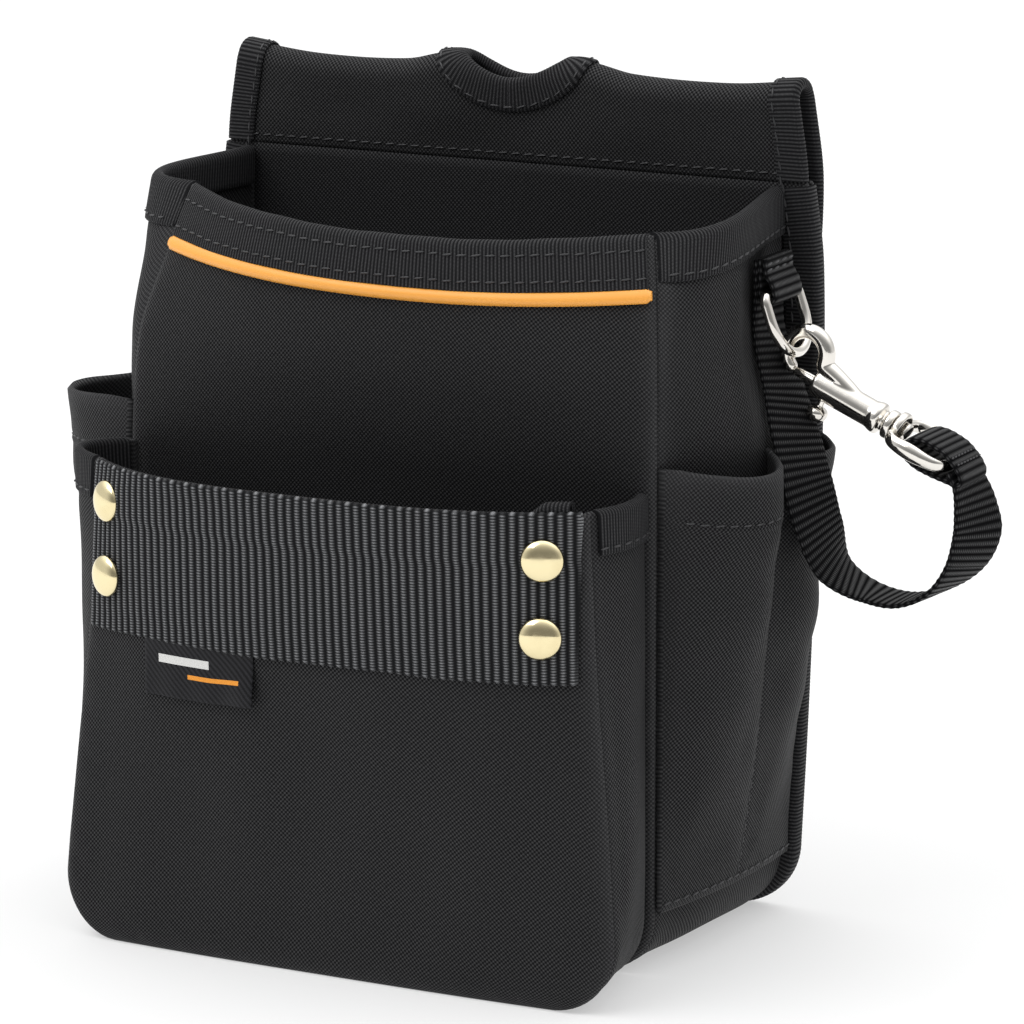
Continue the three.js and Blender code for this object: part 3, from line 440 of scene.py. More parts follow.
def fused(name: str, voxel: float, passes: int, *pieces: Piece) -> Piece:
    """Overlapping closed pieces melted into one cast skin.

    Args:
        name: Name of the result.
        voxel: Grid size in millimetres.
        passes: Smoothing passes.
        pieces: The pieces, which are used up.

    Returns:
        The cast piece.
    """
    whole = join_pieces(name, *pieces)
    remesh = whole.modifiers.new("cast", "REMESH")
    remesh.mode = "VOXEL"
    remesh.voxel_size = voxel * MM
    remesh.use_smooth_shade = True
    polish = whole.modifiers.new("polish", "SMOOTH")
    polish.factor = 0.5
    polish.iterations = passes
    return baked(whole, name)


def place(piece: Piece, body: Body, slot: Slot, *nodes: str) -> Piece:
    """Puts a piece on its body, hides the CAD nodes that it stands for and reports it."""
    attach(piece, body.value)
    return stand_in(piece, slot, *nodes)


def stand_in(piece: Piece, slot: Slot, *nodes: str) -> Piece:
    """Hides the CAD nodes that a piece stands for, and reports the piece with their names."""
    if nodes:
        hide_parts(*nodes)
    log.info("%-24s %6d faces  %s", piece.name, len(piece.data.polygons), ", ".join(nodes))
    return piece


def dress(piece: Piece, material: Finish) -> Piece:
    """Gives a piece one finish."""
    piece.data.materials.clear()
    piece.data.materials.append(material)
    return piece


# ------------------------------------------------------------------ geometry trees
def add_socket(tree: Tree, name: str, kind: str, value: float | None = None) -> None:
    """Adds a named input to a tree."""
    made = tree.interface.new_socket(name, in_out="INPUT", socket_type=kind)
    if value is not None:
        made.default_value = value


def rib_tree() -> Tree:
    """Raises woven ribs across a tape or webbing, along its own first UV length.

    Returns:
        The tree, with inputs Rib Pitch, Rib Height and Finish.
    """
    tree = bpy.data.node_groups.new("woven_ribs", "GeometryNodeTree")
    nodes, links = tree.nodes, tree.links
    add_socket(tree, "Geometry", "NodeSocketGeometry")
    add_socket(tree, "Rib Pitch", "NodeSocketFloat", 0.0028)
    add_socket(tree, "Rib Height", "NodeSocketFloat", 0.0003)
    add_socket(tree, "Finish", "NodeSocketMaterial")
    tree.interface.new_socket("Geometry", in_out="OUTPUT", socket_type="NodeSocketGeometry")
    start = nodes.new("NodeGroupInput")
    length = nodes.new("GeometryNodeInputNamedAttribute")
    split = nodes.new("ShaderNodeSeparateXYZ")
    ribs = nodes.new("ShaderNodeMath")
    turns = nodes.new("ShaderNodeMath")
    wave = nodes.new("ShaderNodeMath")
    crest = nodes.new("ShaderNodeMath")
    rise = nodes.new("ShaderNodeMath")
    normal = nodes.new("GeometryNodeInputNormal")
    offset = nodes.new("ShaderNodeVectorMath")
    lift = nodes.new("GeometryNodeSetPosition")
    whole = nodes.new("GeometryNodeRealizeInstances")
    finish = nodes.new("GeometryNodeSetMaterial")
    end = nodes.new("NodeGroupOutput")
    for step, node in enumerate((start, length, split, ribs, turns, wave, crest, rise, normal,
                                 offset, lift, whole, finish, end)):
        node.location = (180 * step, 0)
    length.data_type = "FLOAT_VECTOR"
    length.inputs["Name"].default_value = "UVMap"
    ribs.operation, turns.operation = "DIVIDE", "MULTIPLY"
    turns.inputs[1].default_value = 2 * math.pi
    wave.operation, crest.operation, rise.operation = "COSINE", "MULTIPLY_ADD", "MULTIPLY"
    crest.inputs[1].default_value, crest.inputs[2].default_value = -0.5, 0.5
    offset.operation = "SCALE"
    links.new(length.outputs["Attribute"], split.inputs[0])
    links.new(split.outputs["X"], ribs.inputs[0])
    links.new(start.outputs["Rib Pitch"], ribs.inputs[1])
    links.new(ribs.outputs[0], turns.inputs[0])
    links.new(turns.outputs[0], wave.inputs[0])
    links.new(wave.outputs[0], crest.inputs[0])
    links.new(crest.outputs[0], rise.inputs[0])
    links.new(start.outputs["Rib Height"], rise.inputs[1])
    links.new(normal.outputs[0], offset.inputs[0])
    links.new(rise.outputs[0], offset.inputs["Scale"])
    links.new(start.outputs["Geometry"], lift.inputs["Geometry"])
    links.new(offset.outputs[0], lift.inputs["Offset"])
    links.new(lift.outputs[0], whole.inputs[0])
    links.new(whole.outputs[0], finish.inputs["Geometry"])
    links.new(start.outputs["Finish"], finish.inputs["Material"])
    links.new(finish.outputs[0], end.inputs[0])
    return tree


def stitch_tree() -> Tree:
    """Lays lockstitches along edges that carry an "up" vector.

    Returns:
        The tree, with inputs Pitch, Stitch Length, Thread, Slant, Seed and Finish.
    """
    tree = bpy.data.node_groups.new("stitch_rows", "GeometryNodeTree")
    nodes, links = tree.nodes, tree.links
    add_socket(tree, "Geometry", "NodeSocketGeometry")
    add_socket(tree, "Pitch", "NodeSocketFloat", 0.0046)
    add_socket(tree, "Stitch Length", "NodeSocketFloat", 0.0034)
    add_socket(tree, "Thread", "NodeSocketFloat", 0.00036)
    add_socket(tree, "Slant", "NodeSocketFloat", 0.16)
    add_socket(tree, "Seed", "NodeSocketInt", 4)
    add_socket(tree, "Finish", "NodeSocketMaterial")
    tree.interface.new_socket("Geometry", in_out="OUTPUT", socket_type="NodeSocketGeometry")
    start = nodes.new("NodeGroupInput")
    rows = nodes.new("GeometryNodeMeshToCurve")
    even = nodes.new("GeometryNodeResampleCurve")
    ball = nodes.new("GeometryNodeMeshUVSphere")
    half = nodes.new("ShaderNodeMath")
    size = nodes.new("ShaderNodeCombineXYZ")
    stitch = nodes.new("GeometryNodeTransform")
    tangent = nodes.new("GeometryNodeInputTangent")
    along = nodes.new("FunctionNodeAlignRotationToVector")
    up = nodes.new("GeometryNodeInputNamedAttribute")
    upright = nodes.new("FunctionNodeAlignRotationToVector")
    loose = nodes.new("FunctionNodeRandomValue")
    least = nodes.new("ShaderNodeMath")
    turn = nodes.new("ShaderNodeCombineXYZ")
    slanted = nodes.new("FunctionNodeRotateRotation")
    sew = nodes.new("GeometryNodeInstanceOnPoints")
    whole = nodes.new("GeometryNodeRealizeInstances")
    finish = nodes.new("GeometryNodeSetMaterial")
    end = nodes.new("NodeGroupOutput")
    for step, node in enumerate((start, rows, even, ball, half, size, stitch, tangent, along, up,
                                 upright, loose, least, turn, slanted, sew, whole, finish, end)):
        node.location = (180 * step, -120 * (step % 3))
    even.mode = "LENGTH"
    ball.inputs["Segments"].default_value = 6
    ball.inputs["Rings"].default_value = 6
    half.operation = "MULTIPLY"
    half.inputs[1].default_value = 0.5
    along.axis, upright.axis, upright.pivot_axis = "X", "Z", "X"
    up.data_type = "FLOAT_VECTOR"
    up.inputs["Name"].default_value = "up"
    slanted.rotation_space = "LOCAL"
    least.operation = "MULTIPLY"
    least.inputs[1].default_value = 0.4
    links.new(start.outputs["Geometry"], rows.inputs["Mesh"])
    links.new(rows.outputs[0], even.inputs["Curve"])
    links.new(start.outputs["Pitch"], even.inputs["Length"])
    links.new(start.outputs["Stitch Length"], half.inputs[0])
    links.new(half.outputs[0], size.inputs["X"])
    links.new(start.outputs["Thread"], size.inputs["Y"])
    links.new(start.outputs["Thread"], size.inputs["Z"])
    links.new(ball.outputs["Mesh"], stitch.inputs["Geometry"])
    links.new(size.outputs[0], stitch.inputs["Scale"])
    links.new(tangent.outputs[0], along.inputs["Vector"])
    links.new(along.outputs[0], upright.inputs["Rotation"])
    links.new(up.outputs["Attribute"], upright.inputs["Vector"])
    links.new(start.outputs["Slant"], least.inputs[0])
    links.new(least.outputs[0], loose.inputs[2])
    links.new(start.outputs["Slant"], loose.inputs[3])
    links.new(start.outputs["Seed"], loose.inputs["Seed"])
    links.new(loose.outputs[1], turn.inputs["Z"])
    links.new(upright.outputs[0], slanted.inputs["Rotation"])
    links.new(turn.outputs[0], slanted.inputs["Rotate By"])
    links.new(even.outputs[0], sew.inputs["Points"])
    links.new(stitch.outputs[0], sew.inputs["Instance"])
    links.new(slanted.outputs[0], sew.inputs["Rotation"])
    links.new(sew.outputs[0], whole.inputs[0])
    links.new(whole.outputs[0], finish.inputs["Geometry"])
    links.new(start.outputs["Finish"], finish.inputs["Material"])
    links.new(finish.outputs[0], end.inputs[0])
    return tree


def seat_tree(head: Piece) -> Tree:
    """Sets one turned head on every point, along the point's "up" vector.

    Args:
        head: The turned head, its axis on +Z.

    Returns:
        The tree, with inputs Size and Finish.
    """
    tree = bpy.data.node_groups.new("seated_" + head.name, "GeometryNodeTree")
    nodes, links = tree.nodes, tree.links
    add_socket(tree, "Geometry", "NodeSocketGeometry")
    add_socket(tree, "Size", "NodeSocketFloat", 1.0)
    add_socket(tree, "Finish", "NodeSocketMaterial")
    tree.interface.new_socket("Geometry", in_out="OUTPUT", socket_type="NodeSocketGeometry")
    start = nodes.new("NodeGroupInput")
    shape = nodes.new("GeometryNodeObjectInfo")
    up = nodes.new("GeometryNodeInputNamedAttribute")
    upright = nodes.new("FunctionNodeAlignRotationToVector")
    seat = nodes.new("GeometryNodeInstanceOnPoints")
    whole = nodes.new("GeometryNodeRealizeInstances")
    finish = nodes.new("GeometryNodeSetMaterial")
    end = nodes.new("NodeGroupOutput")
    for step, node in enumerate((start, shape, up, upright, seat, whole, finish, end)):
        node.location = (180 * step, 0)
    shape.inputs["Object"].default_value = head
    up.data_type = "FLOAT_VECTOR"
    up.inputs["Name"].default_value = "up"
    upright.axis = "Z"
    links.new(up.outputs["Attribute"], upright.inputs["Vector"])
    links.new(start.outputs["Geometry"], seat.inputs["Points"])
    links.new(shape.outputs["Geometry"], seat.inputs["Instance"])
    links.new(upright.outputs[0], seat.inputs["Rotation"])
    links.new(start.outputs["Size"], seat.inputs["Scale"])
    links.new(seat.outputs[0], whole.inputs[0])
    links.new(whole.outputs[0], finish.inputs["Geometry"])
    links.new(start.outputs["Finish"], finish.inputs["Material"])
    links.new(finish.outputs[0], end.inputs[0])
    return tree


# ------------------------------------------------------------------ finishes
def boxed(tree: Tree, title: str, *nodes: bpy.types.Node) -> None:
    """Groups nodes in a titled frame."""
    box = tree.nodes.new("NodeFrame")
    box.label = title
    for node in nodes:
        node.parent = box


def empty_material(name: str) -> tuple:
    """A new material with nothing in it.

    Returns:
        The material and its node tree.
    """
    material = bpy.data.materials.new(name)
    material.use_nodes = True
    material.node_tree.nodes.clear()
    return material, material.node_tree


@dataclass(frozen=True)
class WovenNylon:
    """Coated plain-weave nylon: yarn crowns in the yarn's own tone, with painted shade in the gaps
    between them.
    """

    name: str
    crown: tuple = (0.035, 0.035, 0.0365)
    # painted shade: colour of the gaps between the yarns, where shade falls
    gap_shade: tuple = (0.0095, 0.0095, 0.0103)
    yarn: float = 0.68  # spacing of the yarns, mm
    relief: float = 0.16  # mm
    sheen: float = 0.03
    shine: float = 0.36

    def material(self) -> Finish:
        """Builds the material.

        Returns:
            The material, which reads the piece's UV lengths and its wear.
        """
        material, tree = empty_material(self.name)
        nodes, links = tree.nodes, tree.links
        cloth = nodes.new("ShaderNodeUVMap")
        cloth.label = "lengths over the cloth"
        yarns = nodes.new("ShaderNodeVectorMath")
        yarns.label = "half turns per yarn"
        drift = nodes.new("ShaderNodeTexNoise")
        drift.label = "yarns that wander"
        wander = nodes.new("ShaderNodeVectorMath")
        wander.label = "add the wander"
        split = nodes.new("ShaderNodeSeparateXYZ")
        split.label = "warp and weft"
        warp = nodes.new("ShaderNodeMath")
        warp.label = "warp wave"
        weft = nodes.new("ShaderNodeMath")
        weft.label = "weft wave"
        over = nodes.new("ShaderNodeMath")
        over.label = "over and under"
        crown = nodes.new("ShaderNodeMapRange")
        crown.label = "yarn crown"
        slub = nodes.new("ShaderNodeTexNoise")
        slub.label = "uneven yarn"
        slub_range = nodes.new("ShaderNodeMapRange")
        slub_range.label = "how uneven"
        uneven = nodes.new("ShaderNodeMath")
        uneven.label = "uneven crowns"
        # mix from the painted shade in the gaps to the crowns' own tone, by the weave
        colour = nodes.new("ShaderNodeMix")
        colour.label = "gap to crown"
        rubbed = nodes.new("ShaderNodeAttribute")
        rubbed.label = "edges that rub"
        rub_share = nodes.new("ShaderNodeMath")
        rub_share.label = "how much rubbing shows"
        worn = nodes.new("ShaderNodeMix")
        worn.label = "paler worn edge"
        place_at = nodes.new("ShaderNodeTexCoord")
        place_at.label = "place on the pouch"
        cloud = nodes.new("ShaderNodeTexNoise")
        cloud.label = "handled patches"
        gloss = nodes.new("ShaderNodeMapRange")
        gloss.label = "roughness of the coat"
        shine = nodes.new("ShaderNodeMath")
        shine.label = "only the crowns shine"
        bump = nodes.new("ShaderNodeBump")
        bump.label = "weave relief"
        shader = nodes.new("ShaderNodeBsdfPrincipled")
        shader.label = self.name
        out = nodes.new("ShaderNodeOutputMaterial")
        boxed(tree, "weave", yarns, drift, wander, split, warp, weft, over, crown)
        boxed(tree, "colour", slub, slub_range, uneven, colour, rubbed, rub_share, worn)
        boxed(tree, "coat", place_at, cloud, gloss, shine, bump)
        for step, node in enumerate(nodes):
            node.location = (190 * (step % 9), -260 * (step // 9))
        cloth.uv_map = "UVMap"
        yarns.operation = "SCALE"
        yarns.inputs["Scale"].default_value = math.pi / (self.yarn * MM)
        drift.inputs["Scale"].default_value = 160
        wander.operation = "MULTIPLY_ADD"
        wander.inputs[1].default_value = (1.1, 1.1, 0)
        warp.operation = weft.operation = "SINE"
        over.operation = "MULTIPLY"
        crown.interpolation_type = "SMOOTHSTEP"
        crown.inputs["From Min"].default_value = -0.55
        crown.inputs["From Max"].default_value = 0.85
        slub.inputs["Scale"].default_value = 900
        slub_range.inputs["To Min"].default_value = 0.55
        slub_range.inputs["To Max"].default_value = 1.35
        uneven.operation = "MULTIPLY"
        colour.data_type = worn.data_type = "RGBA"
        colour.inputs["A"].default_value = (*self.gap_shade, 1)
        colour.inputs["B"].default_value = (*self.crown, 1)
        rubbed.attribute_name = "wear"
        rub_share.operation = "MULTIPLY"
        rub_share.inputs[1].default_value = 0.3
        worn.inputs["B"].default_value = (0.075, 0.075, 0.078, 1)
        cloud.inputs["Scale"].default_value = 24
        cloud.inputs["Detail"].default_value = 4
        gloss.inputs["To Min"].default_value = 0.5
        gloss.inputs["To Max"].default_value = 0.72
        bump.inputs["Strength"].default_value = 0.7
        bump.inputs["Distance"].default_value = self.relief * MM
        shine.operation = "MULTIPLY"
        shine.inputs[1].default_value = self.shine
        shader.inputs["Sheen Weight"].default_value = self.sheen
        shader.inputs["Sheen Roughness"].default_value = 0.4
        links.new(cloth.outputs[0], yarns.inputs[0])
        links.new(cloth.outputs[0], drift.inputs["Vector"])
        links.new(drift.outputs["Color"], wander.inputs[0])
        links.new(yarns.outputs[0], wander.inputs[2])
        links.new(wander.outputs[0], split.inputs[0])
        links.new(split.outputs["X"], warp.inputs[0])
        links.new(split.outputs["Y"], weft.inputs[0])
        links.new(warp.outputs[0], over.inputs[0])
        links.new(weft.outputs[0], over.inputs[1])
        links.new(over.outputs[0], crown.inputs["Value"])
        links.new(cloth.outputs[0], slub.inputs["Vector"])
        links.new(slub.outputs["Fac"], slub_range.inputs["Value"])
        links.new(crown.outputs[0], uneven.inputs[0])
        links.new(slub_range.outputs[0], uneven.inputs[1])
        links.new(uneven.outputs[0], colour.inputs["Factor"])
        links.new(rubbed.outputs["Fac"], rub_share.inputs[0])
        links.new(rub_share.outputs[0], worn.inputs["Factor"])
        links.new(colour.outputs["Result"], worn.inputs["A"])
        links.new(worn.outputs["Result"], shader.inputs["Base Color"])
        links.new(place_at.outputs["Object"], cloud.inputs["Vector"])
        links.new(cloud.outputs["Fac"], gloss.inputs["Value"])
        links.new(gloss.outputs[0], shader.inputs["Roughness"])
        links.new(uneven.outputs[0], shine.inputs[0])
        links.new(shine.outputs[0], shader.inputs["Specular IOR Level"])
        links.new(crown.outputs[0], bump.inputs["Height"])
        links.new(bump.outputs[0], shader.inputs["Normal"])
        links.new(shader.outputs[0], out.inputs["Surface"])
        return material


@dataclass(frozen=True)
class RibbedWeave:
    """Tape or webbing whose weft beads stand in ribs across its length, with painted shade in its
    grooves and a painted highlight on its crests.
    """

    name: str
    rib: float  # pitch of the ribs, mm
    bead: float  # pitch of the beads along a rib, mm
    # painted shade: colour of the grooves between the ribs
    groove_shade: tuple
    # colour of the crests: the yarn's own tone plus a painted highlight
    light: tuple
    rough: float = 0.5
    relief: float = 0.2
    shine: float = 0.5

    def material(self) -> Finish:
        """Builds the material.

        Returns:
            The material, which reads the piece's UV lengths.
        """
        material, tree = empty_material(self.name)
        nodes, links = tree.nodes, tree.links
        cloth = nodes.new("ShaderNodeUVMap")
        cloth.label = "lengths over the tape"
        count = nodes.new("ShaderNodeVectorMath")
        count.label = "ribs and beads"
        split = nodes.new("ShaderNodeSeparateXYZ")
        split.label = "rib number, bead number"
        rib_turn = nodes.new("ShaderNodeMath")
        rib_turn.label = "rib phase"
        rib_wave = nodes.new("ShaderNodeMath")
        rib_wave.label = "rib wave"
        ridge = nodes.new("ShaderNodeMath")
        ridge.label = "ridge"
        row = nodes.new("ShaderNodeMath")
        row.label = "which rib"
        shift = nodes.new("ShaderNodeMath")
        shift.label = "every other rib half a bead on"
        bead_turn = nodes.new("ShaderNodeMath")
        bead_turn.label = "bead phase"
        bead_wave = nodes.new("ShaderNodeMath")
        bead_wave.label = "bead wave"
        bead = nodes.new("ShaderNodeMath")
        bead.label = "bead"
        beads = nodes.new("ShaderNodeMath")
        beads.label = "beads on the ridges"
        fuzz = nodes.new("ShaderNodeTexNoise")
        fuzz.label = "uneven yarn"
        fuzz_range = nodes.new("ShaderNodeMapRange")
        fuzz_range.label = "how uneven"
        # painted light: crest colour on the narrowed bead crests as a highlight, groove colour as shade
        tone = nodes.new("ShaderNodeMath")
        tone.label = "painted crest highlight and groove shade"
        # mix from the painted groove shade to the crests' painted highlight
        colour = nodes.new("ShaderNodeMix")
        colour.label = "groove to bead"
        steep = nodes.new("ShaderNodeMath")
        steep.label = "narrow crests"
        shine = nodes.new("ShaderNodeMath")
        shine.label = "only the crests shine"
        bump = nodes.new("ShaderNodeBump")
        bump.label = "bead relief"
        shader = nodes.new("ShaderNodeBsdfPrincipled")
        shader.label = self.name
        out = nodes.new("ShaderNodeOutputMaterial")
        boxed(tree, "ribs", count, split, rib_turn, rib_wave, ridge)
        boxed(tree, "beads", row, shift, bead_turn, bead_wave, bead, beads, bump)
        boxed(tree, "colour", fuzz, fuzz_range, tone, colour)
        for step, node in enumerate(nodes):
            node.location = (190 * (step % 8), -260 * (step // 8))
        cloth.uv_map = "UVMap"
        count.operation = "MULTIPLY"
        count.inputs[1].default_value = (1 / (self.rib * MM), 1 / (self.bead * MM), 0)
        rib_turn.operation = bead_turn.operation = "MULTIPLY_ADD"
        rib_turn.inputs[1].default_value = bead_turn.inputs[1].default_value = 2 * math.pi
        rib_turn.inputs[2].default_value = 0
        rib_wave.operation, bead_wave.operation = "COSINE", "SINE"
        ridge.operation = bead.operation = "MULTIPLY_ADD"
        ridge.inputs[1].default_value, ridge.inputs[2].default_value = -0.5, 0.5
        bead.inputs[1].default_value, bead.inputs[2].default_value = 0.4, 0.6
        row.operation, shift.operation = "FLOOR", "MULTIPLY"
        shift.inputs[1].default_value = math.pi
        beads.operation = tone.operation = "MULTIPLY"
        fuzz.inputs["Scale"].default_value = 1400
        fuzz_range.inputs["To Min"].default_value = 0.5
        fuzz_range.inputs["To Max"].default_value = 1.4
        colour.data_type = "RGBA"
        colour.inputs["A"].default_value = (*self.groove_shade, 1)
        colour.inputs["B"].default_value = (*self.light, 1)
        bump.inputs["Strength"].default_value = 0.8
        bump.inputs["Distance"].default_value = self.relief * MM
        shader.inputs["Roughness"].default_value = self.rough
        steep.operation, shine.operation = "POWER", "MULTIPLY"
        steep.inputs[1].default_value = 1.6
        shine.inputs[1].default_value = self.shine
        shader.inputs["Sheen Weight"].default_value = 0.02
        links.new(cloth.outputs[0], count.inputs[0])
        links.new(count.outputs[0], split.inputs[0])
        links.new(split.outputs["X"], rib_turn.inputs[0])
        links.new(rib_turn.outputs[0], rib_wave.inputs[0])
        links.new(rib_wave.outputs[0], ridge.inputs[0])
        links.new(split.outputs["X"], row.inputs[0])
        links.new(row.outputs[0], shift.inputs[0])
        links.new(split.outputs["Y"], bead_turn.inputs[0])
        links.new(shift.outputs[0], bead_turn.inputs[2])
        links.new(bead_turn.outputs[0], bead_wave.inputs[0])
        links.new(bead_wave.outputs[0], bead.inputs[0])
        links.new(ridge.outputs[0], beads.inputs[0])
        links.new(bead.outputs[0], beads.inputs[1])
        links.new(cloth.outputs[0], fuzz.inputs["Vector"])
        links.new(fuzz.outputs["Fac"], fuzz_range.inputs["Value"])
        links.new(beads.outputs[0], steep.inputs[0])
        links.new(steep.outputs[0], tone.inputs[0])
        links.new(tone.outputs[0], shine.inputs[0])
        links.new(shine.outputs[0], shader.inputs["Specular IOR Level"])
        links.new(fuzz_range.outputs[0], tone.inputs[1])
        links.new(tone.outputs[0], colour.inputs["Factor"])
        links.new(colour.outputs["Result"], shader.inputs["Base Color"])
        links.new(beads.outputs[0], bump.inputs["Height"])
        links.new(bump.outputs[0], shader.inputs["Normal"])
        links.new(shader.outputs[0], out.inputs["Surface"])
        return material


@dataclass(frozen=True)
class Plated:
    """Polished metal with faint handling marks and cast unevenness."""

    name: str
    colour: tuple
    tarnish: tuple
    rough: float = 0.12

    def material(self) -> Finish:
        """Builds the material from the piece's own place."""
        material, tree = empty_material(self.name)
        nodes, links = tree.nodes, tree.links
        place_at = nodes.new("ShaderNodeTexCoord")
        place_at.label = "place on the piece"
        smear = nodes.new("ShaderNodeTexNoise")
        smear.label = "smears from handling"
        gloss = nodes.new("ShaderNodeMapRange")
        gloss.label = "polish"
        spots = nodes.new("ShaderNodeTexNoise")
        spots.label = "tarnish"
        spot_range = nodes.new("ShaderNodeMapRange")
        spot_range.label = "how far it has dulled"
        colour = nodes.new("ShaderNodeMix")
        colour.label = "plating to tarnish"
        dents = nodes.new("ShaderNodeTexNoise")
        dents.label = "uneven casting"
        bump = nodes.new("ShaderNodeBump")
        bump.label = "faint unevenness"
        shader = nodes.new("ShaderNodeBsdfPrincipled")
        shader.label = self.name
        out = nodes.new("ShaderNodeOutputMaterial")
        boxed(tree, "polish", smear, gloss, dents, bump)
        boxed(tree, "colour", spots, spot_range, colour)
        for step, node in enumerate(nodes):
            node.location = (190 * (step % 6), -260 * (step // 6))
        smear.inputs["Scale"].default_value = 220
        smear.inputs["Detail"].default_value = 5
        gloss.inputs["From Min"].default_value = 0.35
        gloss.inputs["From Max"].default_value = 0.75
        gloss.inputs["To Min"].default_value = self.rough * 0.6
        gloss.inputs["To Max"].default_value = self.rough * 1.8
        spots.inputs["Scale"].default_value = 90
        spots.inputs["Detail"].default_value = 6
        spot_range.inputs["From Min"].default_value = 0.5
        spot_range.inputs["From Max"].default_value = 0.85
        spot_range.inputs["To Max"].default_value = 0.5
        colour.data_type = "RGBA"
        colour.inputs["A"].default_value = (*self.colour, 1)
        colour.inputs["B"].default_value = (*self.tarnish, 1)
        dents.inputs["Scale"].default_value = 320
        bump.inputs["Strength"].default_value = 0.06
        bump.inputs["Distance"].default_value = 0.1 * MM
        shader.inputs["Metallic"].default_value = 1
        links.new(place_at.outputs["Object"], smear.inputs["Vector"])
        links.new(place_at.outputs["Object"], spots.inputs["Vector"])
        links.new(place_at.outputs["Object"], dents.inputs["Vector"])
        links.new(smear.outputs["Fac"], gloss.inputs["Value"])
        links.new(gloss.outputs[0], shader.inputs["Roughness"])
        links.new(spots.outputs["Fac"], spot_range.inputs["Value"])
        links.new(spot_range.outputs[0], colour.inputs["Factor"])
        links.new(colour.outputs["Result"], shader.inputs["Base Color"])
        links.new(dents.outputs["Fac"], bump.inputs["Height"])
        links.new(bump.outputs[0], shader.inputs["Normal"])
        links.new(shader.outputs[0], out.inputs["Surface"])
        return material


@dataclass(frozen=True)
class Moulded:
    """Plain coloured vinyl, board or thread with a fine grain."""

    name: str
    colour: tuple
    shade: tuple
    rough: float
    grain: float = 500
    relief: float = 0.05
    coat: float = 0.0

    def material(self) -> Finish:
        """Builds the material from the piece's own place."""
        material, tree = empty_material(self.name)
        nodes, links = tree.nodes, tree.links
        place_at = nodes.new("ShaderNodeTexCoord")
        place_at.label = "place on the piece"
        grain = nodes.new("ShaderNodeTexNoise")
        grain.label = "grain"
        patches = nodes.new("ShaderNodeTexNoise")
        patches.label = "uneven dye"
        colour = nodes.new("ShaderNodeMix")
        colour.label = "dye to shade"
        gloss = nodes.new("ShaderNodeMapRange")
        gloss.label = "roughness"
        bump = nodes.new("ShaderNodeBump")
        bump.label = "grain relief"
        shader = nodes.new("ShaderNodeBsdfPrincipled")
        shader.label = self.name
        out = nodes.new("ShaderNodeOutputMaterial")
        boxed(tree, "surface", grain, gloss, bump)
        boxed(tree, "colour", patches, colour)
        for step, node in enumerate(nodes):
            node.location = (190 * (step % 5), -260 * (step // 5))
        grain.inputs["Scale"].default_value = self.grain
        grain.inputs["Detail"].default_value = 4
        patches.inputs["Scale"].default_value = 45
        colour.data_type = "RGBA"
        colour.inputs["A"].default_value = (*self.colour, 1)
        colour.inputs["B"].default_value = (*self.shade, 1)
        gloss.inputs["To Min"].default_value = self.rough * 0.8
        gloss.inputs["To Max"].default_value = self.rough * 1.2
        bump.inputs["Strength"].default_value = 0.4
        bump.inputs["Distance"].default_value = self.relief * MM
        shader.inputs["Coat Weight"].default_value = self.coat
        shader.inputs["Coat Roughness"].default_value = 0.2
        links.new(place_at.outputs["Object"], grain.inputs["Vector"])
        links.new(place_at.outputs["Object"], patches.inputs["Vector"])
        links.new(patches.outputs["Fac"], colour.inputs["Factor"])
        links.new(grain.outputs["Fac"], gloss.inputs["Value"])
        links.new(grain.outputs["Fac"], bump.inputs["Height"])
        links.new(colour.outputs["Result"], shader.inputs["Base Color"])
        links.new(gloss.outputs[0], shader.inputs["Roughness"])
        links.new(bump.outputs[0], shader.inputs["Normal"])
        links.new(shader.outputs[0], out.inputs["Surface"])
        return material


